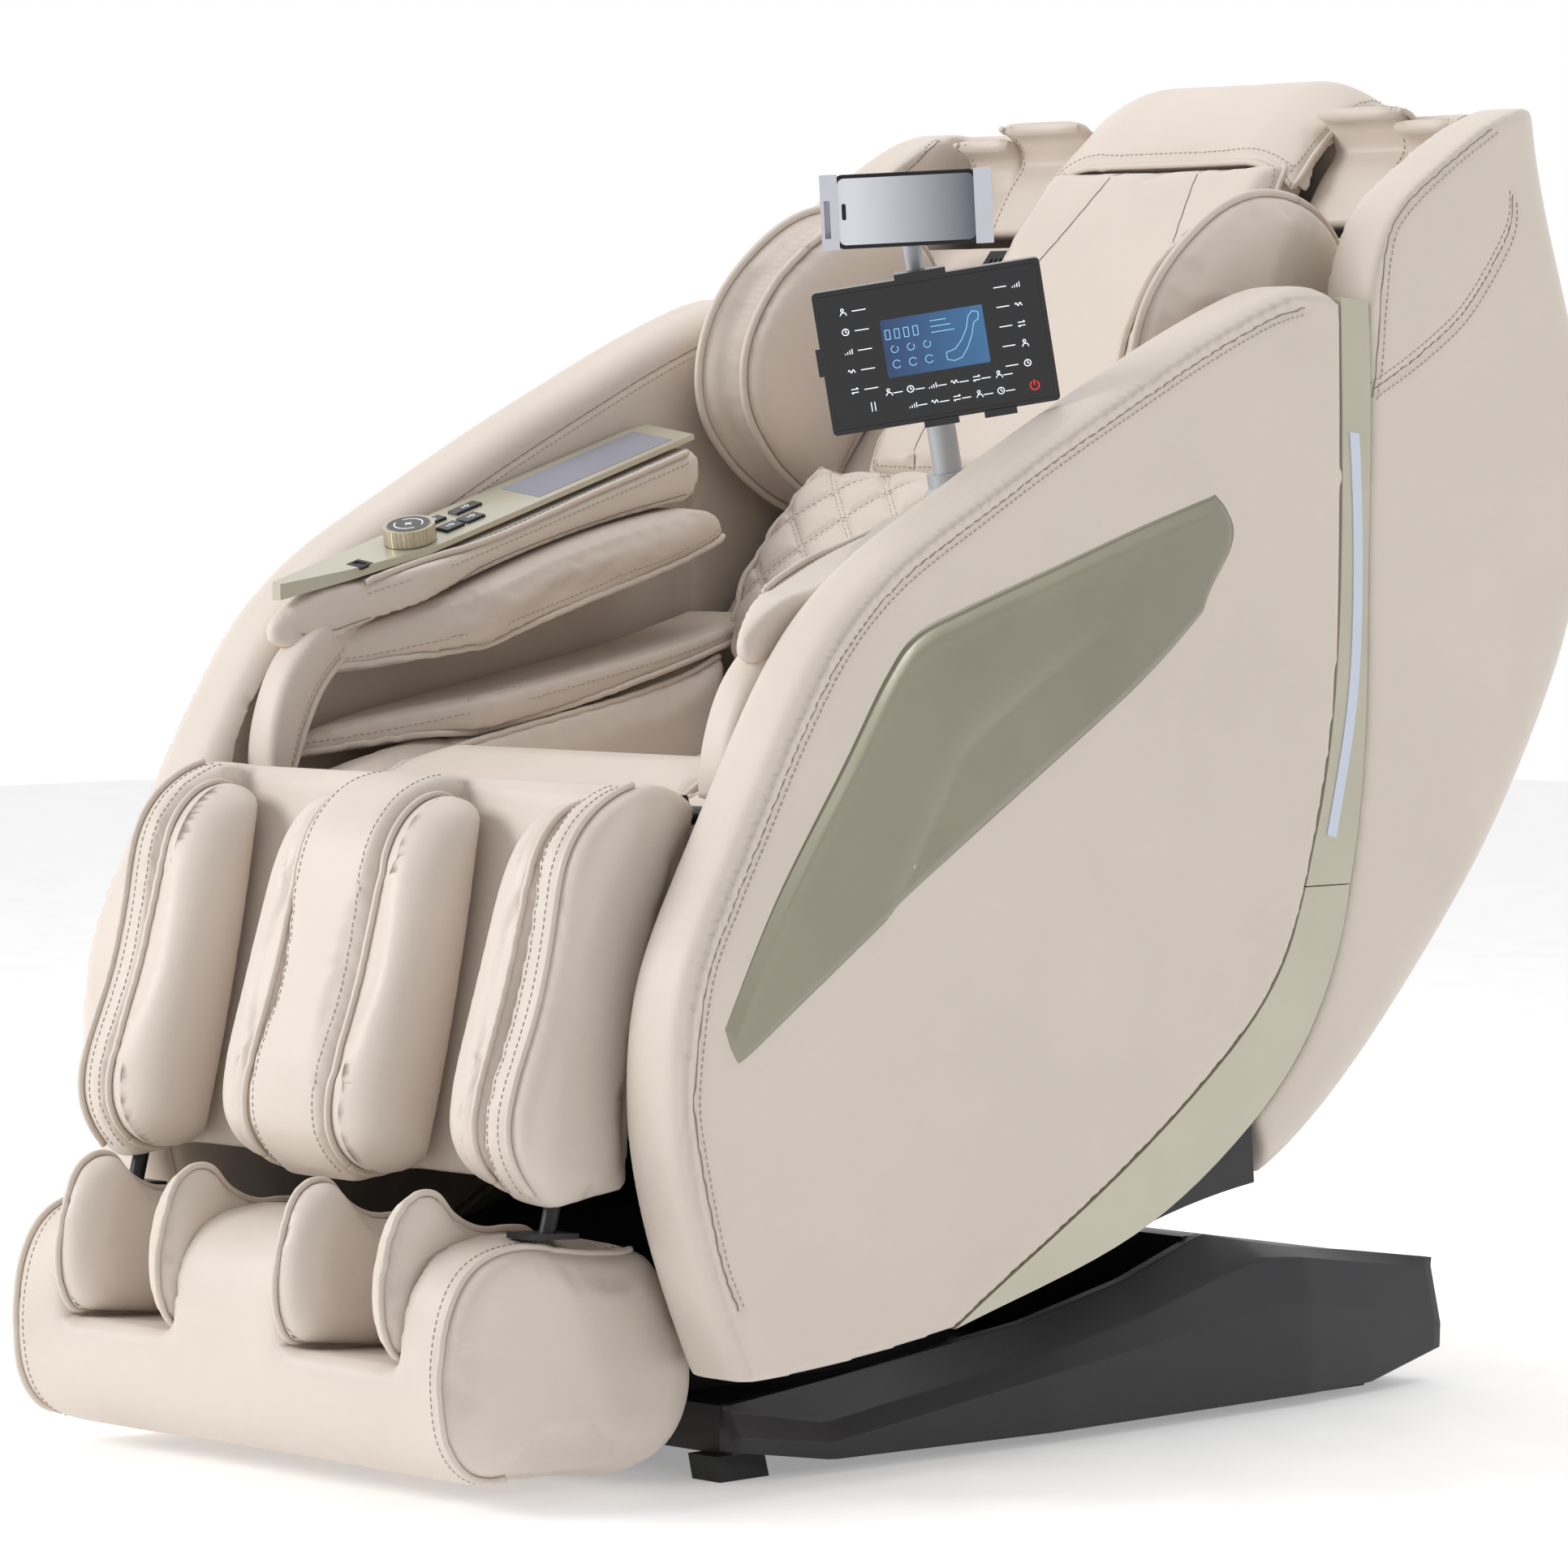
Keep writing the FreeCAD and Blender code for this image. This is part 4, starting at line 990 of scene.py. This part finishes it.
def build_back_pads():
    pad = soft_copy("back_pad", "back_pad_leather", PAD_CREAM, rounds=8)
    lumbar = soft_copy("lumbar_pad", "lumbar_pad_leather", PAD_CREAM, rounds=8)
    pillow = soft_copy("head_pillow", "head_pillow_leather", PAD_CREAM, voxel=0.005, rounds=5)
    shoulders, shoulder_welts = leaf_pads()
    liner = soft_copy("back_liner", "back_liner_leather", PAD_CREAM, rounds=4)
    points = coordinates(pillow)
    points[:, 2] -= pillow_drop(np.abs(points[:, 0]) / MM) * MM
    set_coordinates(pillow, points)
    inflate([pad, lumbar], 0.007)
    inflate([shoulders], 0.004)
    inflate([pillow, liner], 0.004)
    subdivide(lumbar)
    quilt(lumbar)
    long_seams = []
    for side in (-1, 1):
        line = [(96, 190), (104, 280), (100, 380), (72, 480), (50, 570)]
        long_seams.append(smooth_path([on_back(side * x, s, 2) for x, s in line]))
    rim = [(-146, 568), (146, 568), (170, 232), (155, 196), (118, 188), (-118, 188), (-155, 196),
           (-170, 232)]
    ring = close_path(smooth_path([on_back(x, s, -8) for x, s in rim], closed=True))
    inner_ring = close_path(smooth_path([on_back(x * 0.955, (s - 380) * 0.965 + 380, 0) for x, s in rim],
                                        0.003, closed=True))
    dress(pad, "back", seams=long_seams, piping=[ring], rows=long_seams + [inner_ring])
    piping = [smooth_path(side_view(side * 194, LUMBAR_FRONT[:5])) for side in BOTH]
    dress(lumbar, "back", piping=piping, rows=quilt_rows())
    dress(shoulders, "back", piping=shoulder_welts, pipe=0.0038)
    front = [drape(x, 526, 1124) for x in range(-156, 157, 8)]
    over = [(526, 1124), (560, 1158), (600, 1188), (645, 1201), (668, 1196)]
    left, right = ([drape(x, p.y, p.z) for p in smooth_path([Vector((0, y, z)) for y, z in over], 6.0)]
                   for x in (-157, 157))
    row = [[drape(x, 537, 1137) for x in range(-149, 150, 4)]]
    row += [[drape(x, p.y, p.z) for p in smooth_path([Vector((0, y, z)) for y, z in over], 4.0)[3:]]
            for x in (-149, 149)]
    dress(pillow, "back", piping=[front, left, right], rows=row)
    dress(liner, "back")
    for obj, node in ((pad, "back_pad"), (lumbar, "lumbar_pad"), (pillow, "head_pillow"),
                      (shoulders, "shoulder_pads"), (liner, "back_liner")):
        finish_soft(obj, "back", [node])


def build_hood():
    """Two padded layers each side of the head, which fill the hood between the pillow and the wings."""
    for name, side in SIDES:
        for layer, x0, x1, lift in (("inner", 152, 254, 7), ("outer", 246, 316, -7)):
            line = [(566, 1158 + lift), (584, 1150 + lift), (593 + lift * 0.3, 1128), (579 - lift, 1097),
                    (552 - lift, 1060)]
            pad = roll("hood_" + layer + "_pad_" + name, line, side * x0, side * x1, 22, PAD_CREAM)
            edge = [smooth_path(side_view(side * (x1 - 1), line))]
            row = [smooth_path(side_view(side * (x1 - 12), [(y - 8, z + 5) for y, z in line]), 0.003)]
            dress(pad, "back", piping=edge, rows=row)
            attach(pad, "back")


# ---- leg rest -----------------------------------------------------------------------------
CALF_WALLS = (0.048, 0.242)
FOOT_WALLS = (0.070, 0.216)


def wall_pads(node, name, walls, thick, forward, reach):
    """Crowned pads on both walls of each well, with the outlines where their piping goes."""
    pads = soft_copy(node, name, PAD_CREAM, rounds=5)
    shift = Vector((0, -forward, 0))
    loop = [p + shift for p in face_loops(node, Vector((1, 0, 0)), 1)[0]]
    set_coordinates(pads, coordinates(pads) + np.array([[0, -forward, 0]]))
    inner, outer = walls
    crown(pads, loop + loop[:1], [(inner - 0.01, inner + thick + 0.01, inner + 0.002),
                                  (outer - thick - 0.01, outer + 0.01, outer - 0.002)], reach, 0.28)
    welts = []
    for wall, step in ((inner, 0.006), (outer, -0.006)):
        for side in (-1, 1):
            welts.append([Vector((side * (wall + step), p.y, p.z)) for p in loop + loop[:1]])
    return pads, welts


def build_legs():
    calf = soft_copy("calf_shell", "calf_shell_leather", CREAM, rounds=8)
    foot = soft_copy("foot_shell", "foot_shell_leather", CREAM, rounds=8)
    pads, calf_welts = wall_pads("calf_pads", "calf_pad_leather", CALF_WALLS, 0.062, 0.010, 0.046)
    soles, foot_welts = wall_pads("foot_pads", "foot_pad_leather", FOOT_WALLS, 0.030, 0.004, 0.026)
    inflate([calf, foot], 0.006)
    inflate([pads, soles], 0.005)
    edge = [(-528, 256), (-548, 276), (-559, 305), (-555, 340), (-532, 402), (-510, 480), (-494, 530),
            (-462, 564), (-420, 583)]
    welt = [smooth_path(side_view(x, edge)) for x in (-276, 276)]
    rows = [smooth_path(side_view(x, edge), 0.003) for x in (-38, 38, -251, 251, -264, 264)]
    dress(calf, "calf_unit", piping=welt, rows=rows)
    dress(pads, "calf_unit", piping=calf_welts)
    outer = [(-420, 204), (-500, 211), (-562, 213), (-602, 197), (-626, 160), (-634, 113), (-630, 66),
             (-606, 34), (-560, 23)]
    trims = [smooth_path(side_view(x, outer)) for x in (-276, 276)]
    trim_rows = [smooth_path(side_view(x, outer), 0.003) for x in (-264, 264)]
    dress(foot, "foot_unit", piping=trims, rows=trim_rows)
    dress(soles, "foot_unit", piping=foot_welts, rows=foot_welts)
    finish_soft(calf, "calf_unit", ["calf_shell"])
    finish_soft(pads, "calf_unit", ["calf_pads"])
    finish_soft(foot, "foot_unit", ["foot_shell"])
    finish_soft(soles, "foot_unit", ["foot_pads"])


# ---- screen and phone ---------------------------------------------------------------------
def screen_frame(joint, up, reach):
    """Right, up and out axes of a panel, and its middle, from its tilt joint."""
    right = Vector(joint["axis"]).normalized()
    out = right.cross(up).normalized()
    return right, up, out, Vector(joint["pos_m"]) + out * reach


def flat_piece(name, axes, outline, height, material, thick=0.12):
    """A thin plate on a panel from an outline in millimetres."""
    right, up, out, middle = axes
    count = len(outline)
    points = []
    for level in (height, height + thick):
        points += [middle + (right * x + up * y + out * level) * MM for x, y in outline]
    faces = [tuple(range(count, 2 * count)), tuple(reversed(range(count)))]
    for i in range(count):
        j = (i + 1) % count
        faces.append((i, j, count + j, count + i))
    return mesh_object(name, points, faces, material, flat=True)


def rounded_rectangle(x0, x1, y0, y1, radius, steps=6):
    outline = []
    for cx, cy, start in ((x1 - radius, y1 - radius, 0), (x0 + radius, y1 - radius, 90),
                          (x0 + radius, y0 + radius, 180), (x1 - radius, y0 + radius, 270)):
        for k in range(steps + 1):
            turn = math.radians(start + 90 * k / steps)
            outline.append((cx + radius * math.cos(turn), cy + radius * math.sin(turn)))
    return outline


def marks(name, axes, strokes, height, material, width=0.7):
    """Line marks on a panel: each stroke is a run of points in millimetres."""
    right, up, out, middle = axes
    points = []
    faces = []
    for stroke in strokes:
        for (ax, ay), (bx, by) in zip(stroke, stroke[1:]):
            run = math.hypot(bx - ax, by - ay)
            nx, ny = -(by - ay) / run * width / 2, (bx - ax) / run * width / 2
            first = len(points)
            corners = ((ax + nx, ay + ny), (ax - nx, ay - ny), (bx - nx, by - ny), (bx + nx, by + ny))
            for level in (height, height + 0.12):
                points += [middle + (right * x + up * y + out * level) * MM for x, y in corners]
            faces.append((first + 4, first + 5, first + 6, first + 7))
            for k in range(4):
                j = (k + 1) % 4
                faces.append((first + k, first + j, first + 4 + j, first + 4 + k))
    return mesh_object(name, points, faces, material, flat=True)


def ring_stroke(x, y, radius, start=0, end=360, steps=14):
    turns = [math.radians(start + (end - start) * k / steps) for k in range(steps + 1)]
    return [(x + radius * math.cos(t), y + radius * math.sin(t)) for t in turns]


def icon_strokes(x, y, kind):
    """Five plain icon shapes: a seated figure, a clock, bars, a wave and arrows."""
    if kind == 0:
        return [ring_stroke(x, y + 2, 1.2), [(x - 2.4, y - 2.6), (x - 0.6, y), (x + 2.4, y - 0.6)],
                [(x + 2.4, y - 0.6), (x + 3.2, y - 3)]]
    if kind == 1:
        return [ring_stroke(x, y, 2.8), [(x, y + 1.8), (x, y), (x + 1.4, y - 0.8)]]
    if kind == 2:
        return [[(x - 3 + 2 * k, y - 2.4), (x - 3 + 2 * k, y - 1.2 + 1.1 * k)] for k in range(4)]
    if kind == 3:
        return [[(x - 3 + 0.6 * k, y + 1.4 * math.sin(k * 1.1)) for k in range(11)]]
    return [[(x - 3, y + 1.4), (x + 3, y + 1.4), (x + 1.6, y + 2.6)],
            [(x + 3, y - 1.4), (x - 3, y - 1.4), (x - 1.6, y - 2.6)]]


def build_screen():
    up = Vector(JOINTS["pole_swivel"]["axis"]).normalized()
    axes = screen_frame(JOINTS["screen_tilt"], up, -0.020)
    face = 39.05
    x0, x1, y0, y1 = -87.4, 99.4, -57.4, 57.4
    pieces = []
    glass = flat_piece("screen_face", axes, rounded_rectangle(x0, x1, y0, y1, 2.0), face, GLOSS_BLACK, 0.1)
    blue = gradient("screen_blue", (0.012, 0.035, 0.11), (0.03, 0.12, 0.26), tuple(axes[0]),
                    axes[3].dot(axes[0]) - 0.04, axes[3].dot(axes[0]) + 0.05)
    picture = flat_piece("screen_picture", axes, rounded_rectangle(-38, 50, -20, 30, 1.5), face + 0.1, blue)
    white = []
    for k in range(5):
        white += icon_strokes(-68, 42 - 17 * k, k)
        white.append([(-60, 42 - 17 * k), (-48, 42 - 17 * k)])
        white += icon_strokes(81, 42 - 17 * k, (k + 2) % 5)
        white.append([(62, 42 - 17 * k), (73, 42 - 17 * k)])
    for k in range(6):
        for row, y in enumerate((-32, -46)):
            if (row, k) != (1, 0):
                white += icon_strokes(-40 + 19 * k, y, (k + row) % 5)
                white.append([(-36 + 19 * k, y - 1), (-28 + 19 * k, y - 1)])
    white.append([(-56, -38), (-56, -46)])
    white.append([(-53, -38), (-53, -46)])
    light = []
    for k in range(4):
        light += digit_strokes(-33 + 8 * k, 17)
    for k in range(3):
        light += [ring_stroke(-29 + 14 * k, -9, 3.4, 30, 330), ring_stroke(-29 + 14 * k, 4, 3.0, 90, 400)]
        light.append([(4, 23 - 5 * k), (18 + 3 * k, 23 - 5 * k)])
    light.append(lounger_outline())
    pieces += [glass, picture,
               marks("screen_marks_white", axes, white, face + 0.1, WHITE_MARK, 0.75),
               marks("screen_marks_blue", axes, light, face + 0.22, BLUE_MARK, 0.6),
               marks("screen_mark_power", axes, [ring_stroke(84, -46, 3.8, 120, 420), [(84, -46), (84, -41)]],
                     face + 0.1, RED_MARK, 1.0)]
    for piece in pieces:
        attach(piece, "screen")


def digit_strokes(x, y):
    """A plain seven-bar figure."""
    return [[(x - 2, y + 4), (x + 2, y + 4)],
            [(x + 2, y + 4), (x + 2, y - 4)],
            [(x + 2, y - 4), (x - 2, y - 4)],
            [(x - 2, y - 4), (x - 2, y + 4)]]


def lounger_outline():
    return [(14, -12), (20, -14), (27, -12), (33, -4), (38, 6), (41, 16), (45, 18), (46, 24), (41, 26),
            (37, 22), (34, 12), (28, 2), (22, -4), (14, -6), (14, -12)]


def build_phone():
    lean = math.radians(4.0)
    up = Vector((0, -math.sin(lean), math.cos(lean)))
    axes = screen_frame(JOINTS["cradle_tilt"], up, 0.0)
    middle = axes[3].dot(axes[0])
    picture = gradient("phone_picture", (0.55, 0.57, 0.6), (0.08, 0.09, 0.11), tuple(axes[0]),
                       middle - 0.05, middle + 0.06)
    glass = flat_piece("phone_glass", axes, rounded_rectangle(-60.4, 60.4, -30.4, 30.4, 7.5),
                       24.6, GLOSS_BLACK)
    shown = flat_piece("phone_screen", axes, rounded_rectangle(-58.2, 58.2, -28.2, 28.2, 6.0),
                       24.72, picture)
    pill = flat_piece("phone_camera_pill", axes, rounded_rectangle(-55, -51.4, -7, 7, 1.7),
                      24.84, GLOSS_BLACK)
    for piece in (glass, shown, pill):
        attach(piece, "cradle")


def build_console_marks():
    """Plain marks on the knob and the buttons."""
    out = Vector(JOINTS["knob_turn"]["axis"]).normalized()
    right = Vector((1, 0, 0))
    right = (right - out * right.dot(out)).normalized()
    up = out.cross(right)
    hub = Vector(JOINTS["knob_turn"]["pos_m"])
    axes = (right, up, out, hub)
    cap = ring_stroke(0, 0, 19.6, 0, 360, 40)[:-1]
    disc = flat_piece("knob_disc", axes, cap, 8.2, GLOSS_BLACK, 0.2)
    lines = marks("knob_marks", axes, [ring_stroke(0, 0, 13, 20, 160), ring_stroke(0, 0, 13, 200, 340),
                                       [(-4, 0), (4, 0)], [(0, -4), (0, 4)]], 8.4, WHITE_MARK, 0.9)
    for piece in (disc, lines):
        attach(piece, "knob")
    for i in range(4):
        node = "console_button_" + str(i + 1)
        low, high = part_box(node)
        middle = (low + high) / 2
        top = max(v.co.dot(out) for v in frame["nodes"][node].data.vertices)
        spot = (right, up, out, middle + out * (top - middle.dot(out)))
        strokes = [ring_stroke(0, 2, 2.2), [(-2, -3), (2, -3)]]
        piece = marks(node + "_mark", spot, strokes, 0.02, WHITE_MARK, 0.6)
        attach(piece, "button_" + str(i + 1))


# ---- stage --------------------------------------------------------------------------------
def build_stage():
    floor_material = moulded("studio_floor", (0.88, 0.88, 0.885), 0.7, 60.0, 0.05)
    shader = floor_material.node_tree.nodes["Principled BSDF"]
    shader.inputs["Emission Color"].default_value = (1, 1, 1, 1)
    shader.inputs["Emission Strength"].default_value = 0.3
    corners = [(-FLOOR, -FLOOR, 0), (FLOOR, -FLOOR, 0), (FLOOR, FLOOR, 0), (-FLOOR, FLOOR, 0)]
    floor = mesh_object("floor", corners, [(0, 1, 2, 3)], floor_material)
    area_light("key", (-3.0, -4.4, 2.9), 2.2, 165, (0, 0, 0.55))
    area_light("top", (0.2, 0.6, 4.2), 2.6, 40, (0, 0, 0.5))
    area_light("rim", (4.4, 2.1, 1.7), 0.8, 22, (0, 0, 0.6))
    bpy.context.scene.world = studio_sky((-0.707, 0.707, 0.0), 0.38, 1.0)
    bpy.context.scene.view_settings.view_transform = "Standard"


def studio_sky(towards, low, high):
    """A white sky that is brighter on one side of the studio."""
    world = bpy.data.worlds.new("studio")
    world.use_nodes = True
    tree = world.node_tree
    coords = tree.nodes.new("ShaderNodeTexCoord")
    dot = tree.nodes.new("ShaderNodeVectorMath")
    dot.operation = "DOT_PRODUCT"
    dot.inputs[1].default_value = towards
    tree.links.new(coords.outputs["Generated"], dot.inputs[0])
    span = tree.nodes.new("ShaderNodeMapRange")
    span.inputs["From Min"].default_value = -0.5
    span.inputs["From Max"].default_value = 0.8
    span.inputs["To Min"].default_value = low
    span.inputs["To Max"].default_value = high
    tree.links.new(dot.outputs["Value"], span.inputs["Value"])
    tree.links.new(span.outputs["Result"], tree.nodes["Background"].inputs["Strength"])
    tree.nodes["Background"].inputs["Color"].default_value = (1, 1, 1, 1)
    return world


def area_light(name, spot, size, power, target):
    light = bpy.data.lights.new(name, "AREA")
    light.size = size
    light.energy = power
    obj = add_object(name, light)
    obj.location = spot
    obj.rotation_euler = (Vector(target) - Vector(spot)).to_track_quat("-Z", "Y").to_euler()


def build_camera():
    turn = math.radians(CAMERA_TURN)
    rise = math.radians(CAMERA_RISE)
    back = Vector((math.sin(turn) * math.cos(rise), -math.cos(turn) * math.cos(rise), math.sin(rise)))
    right = Vector((math.cos(turn), math.sin(turn), 0))
    up = back.cross(right)
    camera = bpy.data.cameras.new("camera")
    camera.lens = CAMERA_LENS
    camera.sensor_width = 36.0
    camera.clip_end = 60
    obj = add_object("camera", camera)
    axes = Matrix((right, up, back)).transposed().to_4x4()
    obj.matrix_world = Matrix.Translation(place(*CAMERA_SPOT)) @ axes
    bpy.context.scene.camera = obj


build_camera()
build_stage()
paint_hard_parts()
build_skirts()
build_side_panels()
build_inserts()
build_seat_pads()
build_armrests()
build_arches()
build_flaps()
build_shell()
build_back_pads()
build_hood()
build_legs()
build_screen()
build_phone()
build_console_marks()
